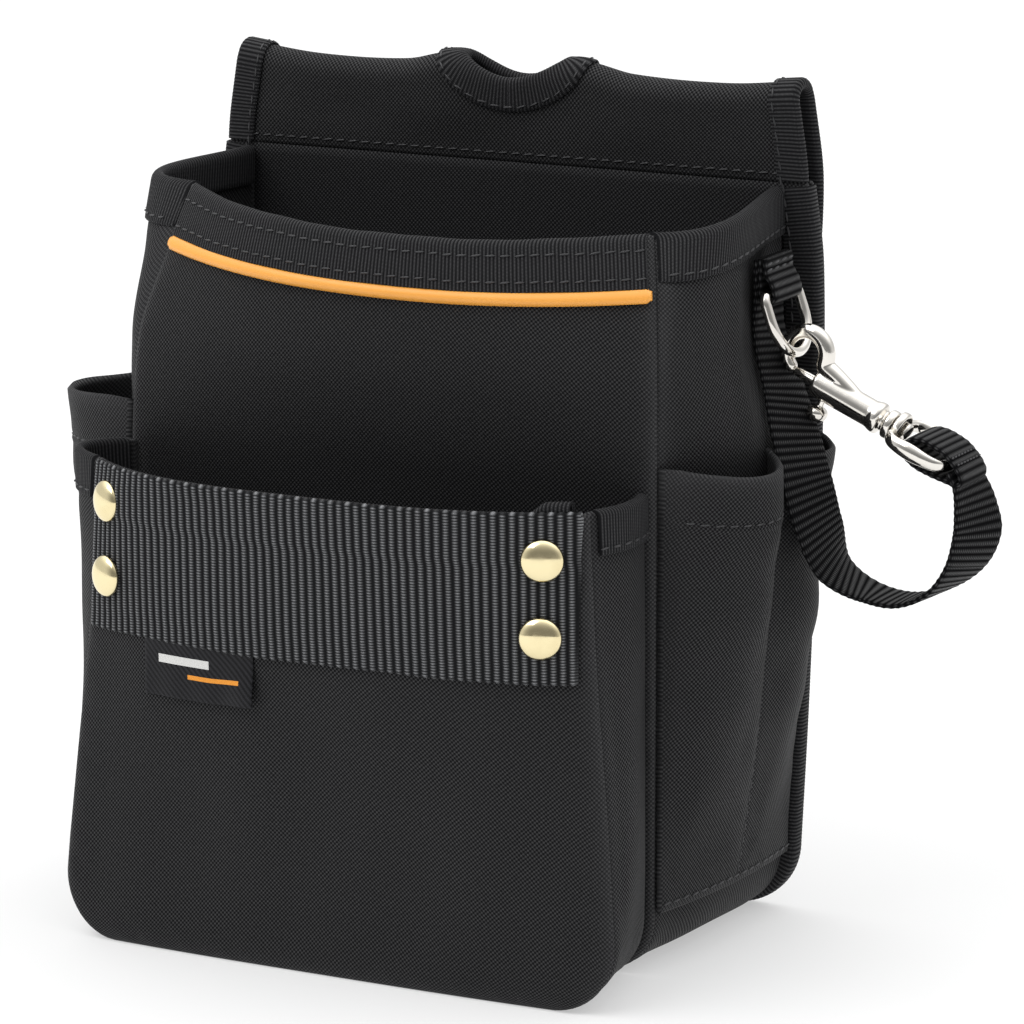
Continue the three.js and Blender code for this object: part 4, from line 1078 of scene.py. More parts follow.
@dataclass(frozen=True)
class LabelSatin:
    """Black woven satin tag with two plain stripes, and no lettering."""

    name: str = "label_satin"

    def material(self) -> Finish:
        """Builds the material from the tag's UV lengths."""
        material, tree = empty_material(self.name)
        nodes, links = tree.nodes, tree.links
        cloth = nodes.new("ShaderNodeUVMap")
        cloth.label = "lengths over the tag"
        split = nodes.new("ShaderNodeSeparateXYZ")
        split.label = "across and up"
        twill = nodes.new("ShaderNodeTexWave")
        twill.label = "twill lines"
        ground = nodes.new("ShaderNodeMix")
        ground.label = "black satin"
        white_bar = nodes.new("ShaderNodeMath")
        white_bar.label = "pale stripe, up the tag"
        white_ends = nodes.new("ShaderNodeMath")
        white_ends.label = "pale stripe, across the tag"
        white = nodes.new("ShaderNodeMath")
        white.label = "pale stripe"
        orange_bar = nodes.new("ShaderNodeMath")
        orange_bar.label = "orange stripe, up the tag"
        orange_ends = nodes.new("ShaderNodeMath")
        orange_ends.label = "orange stripe, across the tag"
        orange = nodes.new("ShaderNodeMath")
        orange.label = "orange stripe"
        with_white = nodes.new("ShaderNodeMix")
        with_white.label = "add the pale stripe"
        with_orange = nodes.new("ShaderNodeMix")
        with_orange.label = "add the orange stripe"
        bump = nodes.new("ShaderNodeBump")
        bump.label = "satin relief"
        shader = nodes.new("ShaderNodeBsdfPrincipled")
        shader.label = self.name
        out = nodes.new("ShaderNodeOutputMaterial")
        boxed(tree, "ground", split, twill, ground, bump)
        boxed(tree, "stripes", white_bar, white_ends, white, orange_bar, orange_ends, orange)
        boxed(tree, "colour", with_white, with_orange)
        for step, node in enumerate(nodes):
            node.location = (190 * (step % 7), -260 * (step // 7))
        cloth.uv_map = "UVMap"
        twill.wave_type, twill.bands_direction = "BANDS", "DIAGONAL"
        twill.inputs["Scale"].default_value = 300
        twill.inputs["Distortion"].default_value = 0.6
        for mix in (ground, with_white, with_orange):
            mix.data_type = "RGBA"
        ground.inputs["A"].default_value = (0.004, 0.004, 0.005, 1)
        ground.inputs["B"].default_value = (0.022, 0.022, 0.025, 1)
        with_white.inputs["B"].default_value = (0.72, 0.72, 0.7, 1)
        with_orange.inputs["B"].default_value = (0.85, 0.33, 0.045, 1)
        for node in (white_bar, white_ends, orange_bar, orange_ends):
            node.operation = "COMPARE"
        white_bar.inputs[1].default_value, white_bar.inputs[2].default_value = 0.0118, 0.0013
        white_ends.inputs[1].default_value, white_ends.inputs[2].default_value = -0.0055, 0.0095
        orange_bar.inputs[1].default_value, orange_bar.inputs[2].default_value = 0.0072, 0.0007
        orange_ends.inputs[1].default_value, orange_ends.inputs[2].default_value = 0.0055, 0.0095
        white.operation = orange.operation = "MULTIPLY"
        bump.inputs["Strength"].default_value = 0.5
        bump.inputs["Distance"].default_value = 0.08 * MM
        shader.inputs["Roughness"].default_value = 0.5
        shader.inputs["Specular IOR Level"].default_value = 0.15
        links.new(cloth.outputs[0], split.inputs[0])
        links.new(cloth.outputs[0], twill.inputs["Vector"])
        links.new(twill.outputs["Fac"], ground.inputs["Factor"])
        links.new(split.outputs["Y"], white_bar.inputs[0])
        links.new(split.outputs["X"], white_ends.inputs[0])
        links.new(white_bar.outputs[0], white.inputs[0])
        links.new(white_ends.outputs[0], white.inputs[1])
        links.new(split.outputs["Y"], orange_bar.inputs[0])
        links.new(split.outputs["X"], orange_ends.inputs[0])
        links.new(orange_bar.outputs[0], orange.inputs[0])
        links.new(orange_ends.outputs[0], orange.inputs[1])
        links.new(ground.outputs["Result"], with_white.inputs["A"])
        links.new(white.outputs[0], with_white.inputs["Factor"])
        links.new(with_white.outputs["Result"], with_orange.inputs["A"])
        links.new(orange.outputs[0], with_orange.inputs["Factor"])
        links.new(with_orange.outputs["Result"], shader.inputs["Base Color"])
        links.new(twill.outputs["Fac"], bump.inputs["Height"])
        links.new(bump.outputs[0], shader.inputs["Normal"])
        links.new(shader.outputs[0], out.inputs["Surface"])
        return material


class Finishes:
    """Every finish of the pouch, made once."""

    def __init__(self) -> None:
        """Builds the materials and the trees that ribs and stitches come from."""
        # each nylon's gap colour is painted shade between the yarns
        self.nylon = WovenNylon("nylon_shell").material()
        self.lining = WovenNylon("nylon_lining", crown=(0.042, 0.042, 0.044),
                                 gap_shade=(0.011, 0.011, 0.012)).material()
        # each tape and webbing: first colour is painted groove shade, second the crest's own tone with a
        # painted highlight, strongest on the band's webbing
        self.tape = RibbedWeave("grosgrain_tape", 1.15, 0.42, (0.012, 0.012, 0.013),
                                (0.058, 0.058, 0.061), 0.55, 0.06).material()
        self.webbing = RibbedWeave("ribbed_webbing", 2.8, 0.86, (0.012, 0.0122, 0.013),
                                   (0.22, 0.225, 0.235), 0.42, 0.2).material()
        self.strap = RibbedWeave("strap_webbing", 2.3, 0.8, (0.005, 0.005, 0.0055),
                                 (0.032, 0.032, 0.034), 0.48, 0.16).material()
        self.piping = Moulded("orange_vinyl", (1.0, 0.45, 0.075), (0.96, 0.40, 0.06), 0.42, 900,
                              0.02, 0.15).material()
        self.board = Moulded("fibre_board", (0.03, 0.03, 0.032), (0.02, 0.02, 0.021), 0.6, 700,
                             0.12).material()
        self.thread = Moulded("black_thread", (0.04, 0.04, 0.043), (0.02, 0.02, 0.022), 0.45, 2500,
                              0.1).material()
        self.brass = Plated("polished_brass", (0.87, 0.76, 0.47), (0.62, 0.5, 0.25), 0.13).material()
        self.nickel = Plated("bright_nickel", (0.80, 0.77, 0.72), (0.5, 0.47, 0.42), 0.1).material()
        self.spring = Plated("spring_steel", (0.5, 0.5, 0.5), (0.3, 0.29, 0.28), 0.25).material()
        self.label = LabelSatin().material()
        self.ribs = rib_tree()
        self.stitches = stitch_tree()

    def ribbed(self, name: str, rings: Array, finish: Finish, pitch: float = 1.15,
               height: float = 0.1, closed: bool = False) -> Piece:
        """Sweeps a tape or strap and raises its ribs.

        Args:
            name: The piece's name.
            rings: Its cross-section at each station.
            finish: Its material.
            pitch: Distance from rib to rib.
            height: Height of a rib.
            closed: Whether its last ring joins its first.

        Returns:
            The piece.
        """
        plain = sweep(name + "_plain", rings, closed=closed)
        return grown(plain, self.ribs, name, Rib_Pitch=pitch * MM, Rib_Height=height * MM, Finish=finish)


@dataclass
class Stitching:
    """Rows of thread on one body, gathered and then sewn in one go."""

    paths: list = field(default_factory=list)
    ups: list = field(default_factory=list)

    def row(self, path: Array, up: Array | tuple) -> None:
        """Adds a row.

        Args:
            path: Points that the row follows, in millimetres.
            up: The way the cloth faces, one vector or one for each point.
        """
        self.paths.append(np.asarray(path, float))
        self.ups.append(np.broadcast_to(np.asarray(up, float), self.paths[-1].shape))

    def sew(self, name: str, finishes: Finishes, pitch: float = 4.4, length: float = 3.4,
            thread: float = 0.36, seed: int = 3) -> Piece:
        """Lays the stitches.

        Args:
            name: The piece's name.
            finishes: The pouch's finishes.
            pitch: Distance from stitch to stitch.
            length: Length of a stitch.
            thread: Half its thickness.
            seed: Chooses how the stitches lie.

        Returns:
            The piece, every stitch of it.
        """
        verts = np.concatenate(self.paths)
        edges, first = [], 0
        for path in self.paths:
            edges += [(first + k, first + k + 1) for k in range(len(path) - 1)]
            first += len(path)
        rows = with_up(name + "_rows", verts, edges, np.concatenate(self.ups))
        return grown(rows, finishes.stitches, name, Pitch=pitch * MM, Stitch_Length=length * MM,
                     Thread=thread * MM, Seed=seed, Finish=finishes.thread)


# ------------------------------------------------------------------ the pouch's shape
MAIN_GUSSET_CLOTH = 78
POUCH_GUSSET_CLOTH = 36
GAP = 0.3
FABRIC = 1.8
TAPE = 0.8
WEBBING = 1.4
FORWARD = np.array([0.0, -1.0, 0.0])


@dataclass(frozen=True)
class Pattern:
    """The pouch's outlines and swells, shared by every sewn piece."""

    height: float = 224
    mouth_dip: float = 4
    gusset_rise: float = 5.5
    main_corner: float = 18
    back_corner: float = 20
    back_face: float = 40
    pouch_height: float = 149.5
    pouch_corner: float = 20
    pouch_attach: float = 88.5
    band_height: float = 50
    main_half: tuple = ((18, 90), (100, 90), (178, 90), (207, 85.5), (224, 80))
    main_y: tuple = ((0, -41), (100, -40.5), (178, -40), (207, -31.5), (224, -22))
    main_bulge: tuple = ((0, 1), (60, 4), (150, 8), (180, 12), (206, 20), (224, 26))
    attach_half: tuple = ((20, 96), (150, 96), (190, 95), (230, 94))
    gusset_bulge: tuple = ((0, 0), (60, 9), (110, 13), (150, 14), (180, 9), (200, 9), (224, 12))
    pouch_half: tuple = ((20, 92), (60, 89.5), (100, 86.5), (149.5, 83))
    pouch_y: tuple = ((0, -84), (22, -81.5), (80, -78), (149.5, -75))
    pouch_bulge: tuple = ((0, 1.5), (30, 4.5), (60, 8.5), (100, 14.5), (149.5, 19.5))
    pouch_gusset: tuple = ((0, 0), (40, 3), (149.5, 3.5))
    mouth_tuck: tuple = ((150, 0), (178, 1.7), (205, 4.4), (224, 1.5))
    right_gusset_slack: tuple = ((150, 0), (200, 4), (224, 6))
    right_pouch_slack: tuple = ((0, 0), (30, 0), (100, 6.5), (149.5, 11))
    pouch_tuck: tuple = ((30, 0), (100, 2), (149.5, 2.8))
    pouch_reach: tuple = ((0, 5.5), (40, 4.5), (100, 2.6), (149.5, 2.6))
    back_half: tuple = ((20, 99), (60, 101), (110, 103), (150, 105), (205, 105), (230, 102))

    def main_half_width(self, z: Array) -> Array:
        """Half-width of the main front panel at a height."""
        return profile(self.main_half, z) - corner_cut(z, self.main_corner)

    def main_front(self, u: Array, z: Array) -> Array:
        """Outer face of the main front panel, u -1..1 across."""
        u, z = np.broadcast_arrays(np.asarray(u, float), np.asarray(z, float))
        y = profile(self.main_y, z) - profile(self.main_bulge, z) * (1 - np.abs(u) ** 2.4)
        dip = (
            self.mouth_dip * (1 - u * u) * z / self.height
            - (1.1 - 2.1 * u) * smooth(z, 100, self.height)
        )
        x = u * self.main_half_width(z) + profile(self.mouth_tuck, z) * np.maximum(-u, 0)
        return np.stack([x, y, z - dip], -1)

    def gusset_hump(self, t: Array, z: Array) -> Array:
        """How the gusset's swell is shared over its depth at a height."""
        mouth = smooth(z, 150, 200)
        return hump(t, 1 - 0.5 * mouth, 1 + 0.5 * mouth)

    def gusset_lift(self, z: Array) -> Array:
        """How far the gusset's back edge climbs above its front edge."""
        return self.gusset_rise * smooth(z, 180, self.height)

    def gusset_side(self, side: Side, z: Array, t: Array) -> Array:
        """Outer face of the gusset's side wall, t 0..1 from front to back."""
        z, t = np.broadcast_arrays(np.asarray(z, float), np.asarray(t, float))
        front = self.main_half_width(z) - profile(self.mouth_tuck, z) * (side is Side.RIGHT)
        back = profile(self.attach_half, z)
        bulge = (
            profile(self.gusset_bulge, z) + profile(self.right_gusset_slack, z) * (side is Side.RIGHT)
        )
        x = front + (back - front) * t + bulge * self.gusset_hump(t, z)
        y0 = profile(self.main_y, z) + FABRIC + GAP
        y = y0 + (self.back_face - GAP - y0) * t
        lean = self.lean(side.value, z) * (1 - t)
        return np.stack([side.value * x, y, z + self.gusset_lift(z) * t + lean], -1)

    def lean(self, sign: Array, z: Array) -> Array:
        """How far the front panel's edge sits above its drawn height, on the side with that sign."""
        return (1.1 - 2.1 * sign) * smooth(z, 100, self.height)

    def pouch_half_width(self, z: Array) -> Array:
        """Half-width of the front pouch's panel at a height."""
        return profile(self.pouch_half, z) - corner_cut(z, self.pouch_corner)

    def pouch_front(self, u: Array, z: Array) -> Array:
        """Outer face of the front pouch's panel, u -1..1 across."""
        u, z = np.broadcast_arrays(np.asarray(u, float), np.asarray(z, float))
        y = profile(self.pouch_y, z) - profile(self.pouch_bulge, z) * (1 - np.abs(u) ** 3)
        tuck = profile(self.pouch_tuck, z) * np.maximum(-u, 0) ** 3
        reach = profile(self.pouch_reach, z) * np.maximum(u, 0) ** 3
        return np.stack([u * self.pouch_half_width(z) + tuck + reach, y, z], -1)

    def pouch_front_at(self, x: Array, z: Array) -> Array:
        """The same face at a distance x from its middle."""
        return self.pouch_front(np.asarray(x, float) / self.pouch_half_width(z), z)

    def pouch_side(self, side: Side, z: Array, t: Array) -> Array:
        """Outer face of the front pouch's gusset, t 0..1 from front to back."""
        z, t = np.broadcast_arrays(np.asarray(z, float), np.asarray(t, float))
        right = side is Side.RIGHT
        front = (
            self.pouch_half_width(z)
            + (-profile(self.pouch_tuck, z) if right else profile(self.pouch_reach, z))
        )
        bulge = profile(self.pouch_gusset, z) + profile(self.right_pouch_slack, z) * right
        x = front + (self.pouch_attach - front) * t + bulge * hump(t, 1, 1)
        y0 = profile(self.pouch_y, z) + FABRIC + GAP
        y = y0 + (profile(self.main_y, z) - 1.7 - y0) * t
        return np.stack([side.value * x, y, z], -1)

    def strip(self, half_width: Callable, radius: float, top: float) -> dict:
        """Outline of a U-shaped strip: down one side, under the floor and up the other.

        Args:
            half_width: Half-width at a height.
            radius: Radius of the round corners.
            top: Height of the strip's ends.

        Returns:
            Arrays x, z, nx and nz, the last two the way the strip faces.
        """
        heights = np.linspace(top, 20, 84)
        angle = np.radians(np.linspace(0, 90, 14)[1:])
        centre = float(half_width(np.array(radius))) - radius
        floor = np.linspace(centre, 0, 30)[1:]
        x = np.concatenate([half_width(heights), centre + radius * np.cos(angle), floor])
        z = np.concatenate([heights, radius - radius * np.sin(angle), floor * 0])
        nx = np.concatenate([heights * 0 + 1, np.cos(angle), floor * 0])
        nz = np.concatenate([heights * 0, -np.sin(angle), floor * 0 - 1])
        back = slice(-2, None, -1)
        return {
            "x": np.concatenate([x, -x[back]]),
            "z": np.concatenate([z, z[back]]),
            "nx": np.concatenate([nx, -nx[back]]),
            "nz": np.concatenate([nz, nz[back]]),
        }


def u_section(front: float, back: float, ply: float, slack: float = GAP) -> Array:
    """Cross-section of tape folded over an edge.

    Args:
        front: How far the tape reaches down the outer face.
        back: How far it reaches down the inner face.
        ply: Thickness of what it binds.
        slack: Clearance under the tape.

    Returns:
        Pairs: distance in front of the bound ply's outer face, distance below the tape's top.
    """
    inner = ply / 2 + slack
    outer = inner + TAPE
    angle = np.linspace(0, math.pi, 9)
    legs = np.linspace(1, 0, 7)[:-1]
    over = np.stack([outer * np.cos(angle), outer - outer * np.sin(angle)], -1)
    under = np.stack([inner * np.cos(angle[::-1]), outer - inner * np.sin(angle[::-1])], -1)
    down = np.stack([outer + 0 * legs, outer + (front - outer) * legs], -1)
    rear = np.stack([-outer + 0 * legs, outer + (back - outer) * legs[::-1]], -1)
    rear_in = np.stack([-inner + 0 * legs, outer + (back - outer) * legs], -1)
    down_in = np.stack([inner + 0 * legs, outer + (front - outer) * legs[::-1]], -1)
    hem = np.array([[(outer + inner) / 2, front + 0.3]])
    rear_hem = np.array([[-(outer + inner) / 2, back + 0.3]])
    section = np.concatenate([down, over, rear, rear_hem, rear_in, under, down_in, hem])
    section[:, 0] -= ply / 2
    return section


def gusset_strip(name: str, front: dict, back: dict, across: Array, y: Array, swell: Array,
                 relief: Array, edge: Array, roll: float, lean: Array | float = 0) -> Piece:
    """Cloth that joins the edge of a front panel to the edge of the panel behind it.

    Args:
        name: The piece's name.
        front: Points "x" and "z" along the front edge, and how they face, "nx" and "nz".
        back: The same for the back edge.
        across: Share of the way from the front edge to the back edge.
        y: Depth of each point.
        swell: How far the strip bulges outwards.
        relief: Wrinkles on its sides.
        edge: Distance to the nearest seam.
        roll: How wide the roll beside a seam is.
        lean: How much each point is raised.

    Returns:
        The piece.
    """

    def face(out: Array) -> Array:
        """One face of the strip, a distance out from its base line."""
        x = front["x"] + (back["x"] - front["x"]) * across + front["nx"] * out
        z = front["z"] + (back["z"] - front["z"]) * across + front["nz"] * out + lean
        points = np.stack([x, y + 0 * x, z], -1)
        points[[0, -1], :, 2] -= TAPE + GAP
        return points

    outer = face(swell + relief * np.abs(front["nx"]) - edge_roll(edge, roll, 1.3))
    return shell(name, outer, face(swell - FABRIC), np.exp(-edge / 2) + 0 * outer[..., 0])


@dataclass
class Compartment:
    """The main compartment: front panel, gusset, their tapes and the piping."""

    pattern: Pattern
    finishes: Finishes
    stitching: Stitching
    tape_front: float = 14.6
    tape_side: float = 13
    piping_height: float = 207.2
    rib_step: float = 0.3

    def front_panel(self) -> None:
        """Front panel, swelling forward towards the mouth."""
        p = self.pattern
        u = spread(110)[None, :]
        z = corner_heights(p.main_corner, p.height - TAPE - GAP, 2.2)[:, None]
        outer = p.main_front(u, z)
        edge = (1 - np.abs(u)) * p.main_half_width(z) + 0 * z
        low = np.minimum(edge, z + 0 * u)
        fade = smooth(edge, 0, 14)
        outer[..., 1] += edge_roll(low, 2.6, 1.3)
        outer[..., 1] += ripple(outer[..., 0], outer[..., 2], 11, 70, 0.7) * fade
        outer[..., 1] += pucker(outer[..., 2], edge, 12, 0.35) * smooth(edge, 0, 3)
        inner = p.main_front(u, z) + np.array([0, FABRIC, 0])
        panel = shell("main_front_cloth", outer, inner, np.exp(-low / 2))
        place(dress(panel, self.finishes.nylon), Body.POUCH, Slot.NYLON, "main_front_panel")

    def gusset(self) -> None:
        """Side and floor strip between the front panel and the back."""
        p = self.pattern
        front = p.strip(p.main_half_width, p.main_corner, p.height)
        back = p.strip(lambda z: profile(p.attach_half, z), p.back_corner, p.height)
        t = (spread(46, 0.6)[None, :] + 1) / 2
        a = {key: value[:, None] for key, value in front.items()}
        b = {key: value[:, None] for key, value in back.items()}
        right = (a["x"] < 0) & (np.abs(a["nx"]) > 0)
        bulge = profile(p.gusset_bulge, a["z"]) + profile(p.right_gusset_slack, a["z"]) * right
        swell = bulge * p.gusset_hump(t, a["z"]) * np.abs(a["nx"])
        lean = p.lean(np.sign(a["x"]), a["z"]) * (1 - t)
        a["x"] = a["x"] + profile(p.mouth_tuck, a["z"]) * right
        y0 = profile(p.main_y, a["z"]) + FABRIC + GAP
        y = y0 + (p.back_face - GAP - y0) * t
        depth = t * MAIN_GUSSET_CLOTH
        edge = np.minimum(depth, MAIN_GUSSET_CLOTH - depth)
        crease = 0.9 * np.exp(-(((t - 0.42) / 0.05) ** 2)) * smooth(a["z"], 150, 175) * np.abs(a["nx"])
        relief = ripple(y + 0 * swell, a["z"] + 0 * y, 21, 45, 0.6) * smooth(edge, 2, 12)
        relief = relief * (1 - smooth(a["z"], 205, 212)) + crease * (1 - smooth(a["z"], 206, 212))
        b["z"] = b["z"] + p.gusset_lift(b["z"])
        strip = gusset_strip("main_gusset_cloth", a, b, t, y, swell, relief, edge, 2.6, lean)
        place(dress(strip, self.finishes.nylon), Body.POUCH, Slot.NYLON, "main_gusset")

    def bind(self, name: str, face: Callable, out: Array, stations: Array, section: Array,
             *nodes: str) -> None:
        """Sweeps a folded tape along an edge and raises its ribs.

        Args:
            name: The piece's name.
            face: Gives the bound face at stations and a distance below the tape's top.
            out: The way the bound face looks.
            stations: Places along the edge.
            section: The tape's cross-section.
            nodes: The CAD nodes that it stands for.
        """
        rings = np.stack([face(stations, down) + out * away for away, down in section], 1)
        tape = self.finishes.ribbed(name, rings, self.finishes.tape, height=0.12)
        place(tape, Body.POUCH, Slot.BINDING, *nodes)

    def tapes(self) -> None:
        """Tape over the front panel's top edge and over each gusset's."""
        p = self.pattern
        u = np.linspace(-0.975, 0.988, int(211 / self.rib_step))
        wavy = 0.12 * np.sin(u * 11) + 0.07 * np.sin(u * 29 + 1)

        def front(stations: Array, down: float) -> Array:
            """The front panel's face below its top edge."""
            return p.main_front(stations, p.height - down) + np.stack([0 * wavy, 0 * wavy, wavy], -1)

        self.bind("main_mouth_binding", front, FORWARD, u, u_section(self.tape_front, 13, FABRIC, 0.5),
                  "main_mouth_tape")
        for down in (4.2, 11.8):
            path = front(u, down) + FORWARD * 1.55
            self.stitching.row(path[6:-6], FORWARD)
        for side in Side:
            self.gusset_tape(side)

    def gusset_tape(self, side: Side) -> None:
        """Tape over one gusset's top edge.

        Args:
            side: Which gusset.
        """
        p = self.pattern
        t = np.linspace(0.02, 0.965, int(80 / self.rib_step))
        t = np.concatenate([[0, 0.0015, 0.004, 0.008, 0.013], t])

        def face(stations: Array, down: float) -> Array:
            """The gusset's outer face below its top edge."""
            return p.gusset_side(side, p.height - down, stations)

        out = np.array([side.value, 0, 0])
        name = side.name.lower()
        self.bind(f"gusset_binding_{name}", face, out, t, u_section(self.tape_side, 11, FABRIC, 0.7),
                  f"gusset_tape_{name}")
        self.stitching.row(face(t, 11.2)[4:-4] + out * 1.75, out)

    def piping(self) -> None:
        """Glossy orange piping under the mouth's tape."""
        u = np.linspace(-0.985, 1.0, 240)
        angle = np.linspace(-0.55 * math.pi, 0.55 * math.pi, 15)
        rings = []
        for turn in angle:
            away = 0.35 + 1.9 * max(math.cos(turn), 0)
            up = 2.15 * math.sin(turn)
            rings.append(self.pattern.main_front(u, self.piping_height + up) + FORWARD * away)
        ends = np.clip((1 - np.abs(np.linspace(-1, 1, 240))) * 60, 0.35, 1) ** 0.5
        rings = np.stack(rings, 1)
        middle = rings.mean(1, keepdims=True)
        piping = sweep("orange_piping_bead", middle + (rings - middle) * ends[:, None, None])
        place(dress(piping, self.finishes.piping), Body.POUCH, Slot.PIPING, "orange_piping")

    def build(self) -> None:
        """Builds every piece of the main compartment."""
        self.front_panel()
        self.gusset()
        self.tapes()
        self.piping()


@dataclass
class FrontPouch:
    """The front pouch with its webbing band, tag and rivets."""

    pattern: Pattern
    finishes: Finishes
    stitching: Stitching
    compartment: Compartment
    band_half: float = 82.5
    rivet_x: float = 73
    rivet_drops: tuple = (12.5, 35.5)
    band_rest: float = 1.5

    def panel(self) -> None:
        """Front panel with round bottom corners."""
        p = self.pattern
        u = spread(112)[None, :]
        z = corner_heights(p.pouch_corner, p.pouch_height - TAPE - GAP, 2.2)[:, None]
        outer = p.pouch_front(u, z)
        edge = (1 - np.abs(u)) * p.pouch_half_width(z) + 0 * z
        low = np.minimum(edge, z + 0 * u)
        outer[..., 1] += edge_roll(low, 3.4, 1.5)
        outer[..., 1] += (
            ripple(outer[..., 0], outer[..., 2], 31, 60, 0.8) * smooth(low, 2, 16)
            * (1 - smooth(z, 92, 104))
        )
        outer[..., 1] += pucker(outer[..., 2] + outer[..., 0], low, 32, 0.4) * smooth(low, 0, 3)
        inner = p.pouch_front(u, z) + np.array([0, FABRIC, 0])
        panel = shell("front_pouch_cloth", outer, inner, np.exp(-low / 2))
        place(dress(panel, self.finishes.nylon), Body.POUCH, Slot.NYLON, "front_pouch_panel")

    def gusset(self) -> None:
        """Side and floor strip between the pouch's panel and the main front."""
        p = self.pattern
        front = p.strip(p.pouch_half_width, p.pouch_corner, p.pouch_height)
        back = p.strip(lambda z: p.pouch_attach + 0 * z, p.pouch_corner, p.pouch_height)
        t = (spread(26, 0.6)[None, :] + 1) / 2
        a = {key: value[:, None] for key, value in front.items()}
        b = {key: value[:, None] for key, value in back.items()}
        right = (a["x"] < 0) & (np.abs(a["nx"]) > 0)
        bulge = profile(p.pouch_gusset, a["z"]) + profile(p.right_pouch_slack, a["z"]) * right
        swell = bulge * hump(t, 1, 1) * np.abs(a["nx"])
        moved = (
            profile(p.pouch_tuck, a["z"]) * right
            + profile(p.pouch_reach, a["z"]) * (a["x"] > 0) * np.abs(a["x"] / 88) ** 3
        )
        a["x"] = a["x"] + moved
        y0 = profile(p.pouch_y, a["z"]) + FABRIC + GAP
        y = y0 + (profile(p.main_y, b["z"]) - 1.7 - y0) * t
        depth = t * POUCH_GUSSET_CLOTH
        edge = np.minimum(depth, POUCH_GUSSET_CLOTH - depth)
        relief = (
            ripple(y + 0 * swell, a["z"] + 0 * y, 41, 38, 0.5) * smooth(edge, 1, 8)
            * (1 - smooth(a["z"], 130, 138))
        )
        strip = gusset_strip("front_gusset_cloth", a, b, t, y, swell, relief, edge, 3)
        place(dress(strip, self.finishes.nylon), Body.POUCH, Slot.NYLON, "front_pouch_gusset")

    def tapes(self) -> None:
        """Tape over the pouch's mouth and over each end of its gusset."""
        p, step = self.pattern, self.compartment.rib_step
        u = np.linspace(-0.955, 0.955, int(190 / step))
        rise = 3.2 * smooth(np.abs(u), 0.83, 0.89) * (u > 0)

        def front(stations: Array, down: float) -> Array:
            """The pouch's front face below its top edge."""
            lift = np.stack([0 * u, 0 * u, rise * smooth(-down, -9, -4)], -1)
            return p.pouch_front(stations, p.pouch_height - down) + lift

        self.compartment.bind("front_mouth_binding", front, FORWARD, u, u_section(11, 10, FABRIC, 0.3),
                              "front_mouth_tape")
        for side in Side:
            t = np.linspace(0.07, 0.94, int(34 / step))
            out = np.array([side.value, 0, 0])

            def face(stations: Array, down: float, side: Side = side) -> Array:
                """The gusset's outer face below its top edge."""
                return p.pouch_side(side, p.pouch_height - down, stations)

            name = side.name.lower()
            self.compartment.bind(f"front_gusset_binding_{name}", face, out, t,
                                  u_section(13, 11, FABRIC, 0.3), f"front_gusset_tape_{name}")
            self.stitching.row(face(t, 11.2)[4:-4] + out * 1.35, out)

    def band_away(self, drop: Array) -> Array:
        """How far the band stands off the panel, at a distance below its top edge."""
        return self.band_rest - 0.9 * smooth(drop, 13, 17) - 0.2 * smooth(drop, 42, 46)

    def band(self) -> None:
        """Ribbed webbing band across the pouch's front."""
        p = self.pattern
        x = np.linspace(-self.band_half, self.band_half, 480)[None, :]
        z = np.linspace(p.pouch_height - p.band_height, p.pouch_height, 44)[:, None]
        drop = p.pouch_height - z
        sag = 0.25 * np.sin(x * 0.09) + 0.2 * np.sin(x * 0.21 + 2)
        out = self.band_away(drop) + ripple(x + 0 * z, z + 0 * x, 51, 55, 0.3) * smooth(drop, 0, 6)

        def face(extra: float) -> Array:
            """One face of the band."""
            points = p.pouch_front_at(x, z)
            points[..., 1] -= out + extra
            points[..., 2] += sag * smooth(drop, 4, 40) * 0.6
            return points

        band = shell("webbing_band_plain", face(WEBBING - 0.3), face(0))
        band = grown(band, self.finishes.ribs, "webbing_band_cloth", Rib_Pitch=2.8 * MM,
                     Rib_Height=0.34 * MM, Finish=self.finishes.webbing)
        place(band, Body.POUCH, Slot.WEBBING, "webbing_band")

    def tag(self) -> None:
        """Woven tag hanging from under the band, its free corner lifting."""
        p = self.pattern
        x = np.linspace(-58, -17.5, 44)[None, :]
        top = p.pouch_height - p.band_height + 2
        z = np.linspace(top - 19.5, top, 30)[:, None]
        low = smooth(top - z, 4, 19.5)
        lift = low * (0.7 + 1.9 * smooth(x, -36, -18) ** 2) + 0.15 * np.sin(x * 0.5) * low

        def face(extra: float) -> Array:
            """One face of the tag."""
            points = p.pouch_front_at(x, z)
            points[..., 1] -= 0.25 + lift + extra
            points[..., 2] += 0.8 * low * smooth(x, -34, -18)
            return points

        tag = shell("label_tag_cloth", face(0.6), face(0))
        place(dress(tag, self.finishes.label), Body.POUCH, Slot.LABEL, "label_tag")

    def seats(self) -> tuple:
        """Where the rivets sit.

        Returns:
            Points on the panel's face and the ways it looks there.
        """
        p = self.pattern
        x = np.repeat([-self.rivet_x, self.rivet_x], 2)
        z = p.pouch_height - np.tile(self.rivet_drops, 2) - np.repeat([-1.8, 1.0], 2)
        along = p.pouch_front_at(x + 0.5, z) - p.pouch_front_at(x - 0.5, z)
        up = p.pouch_front_at(x, z + 0.5) - p.pouch_front_at(x, z - 0.5)
        return p.pouch_front_at(x, z), unit(np.cross(along, up))

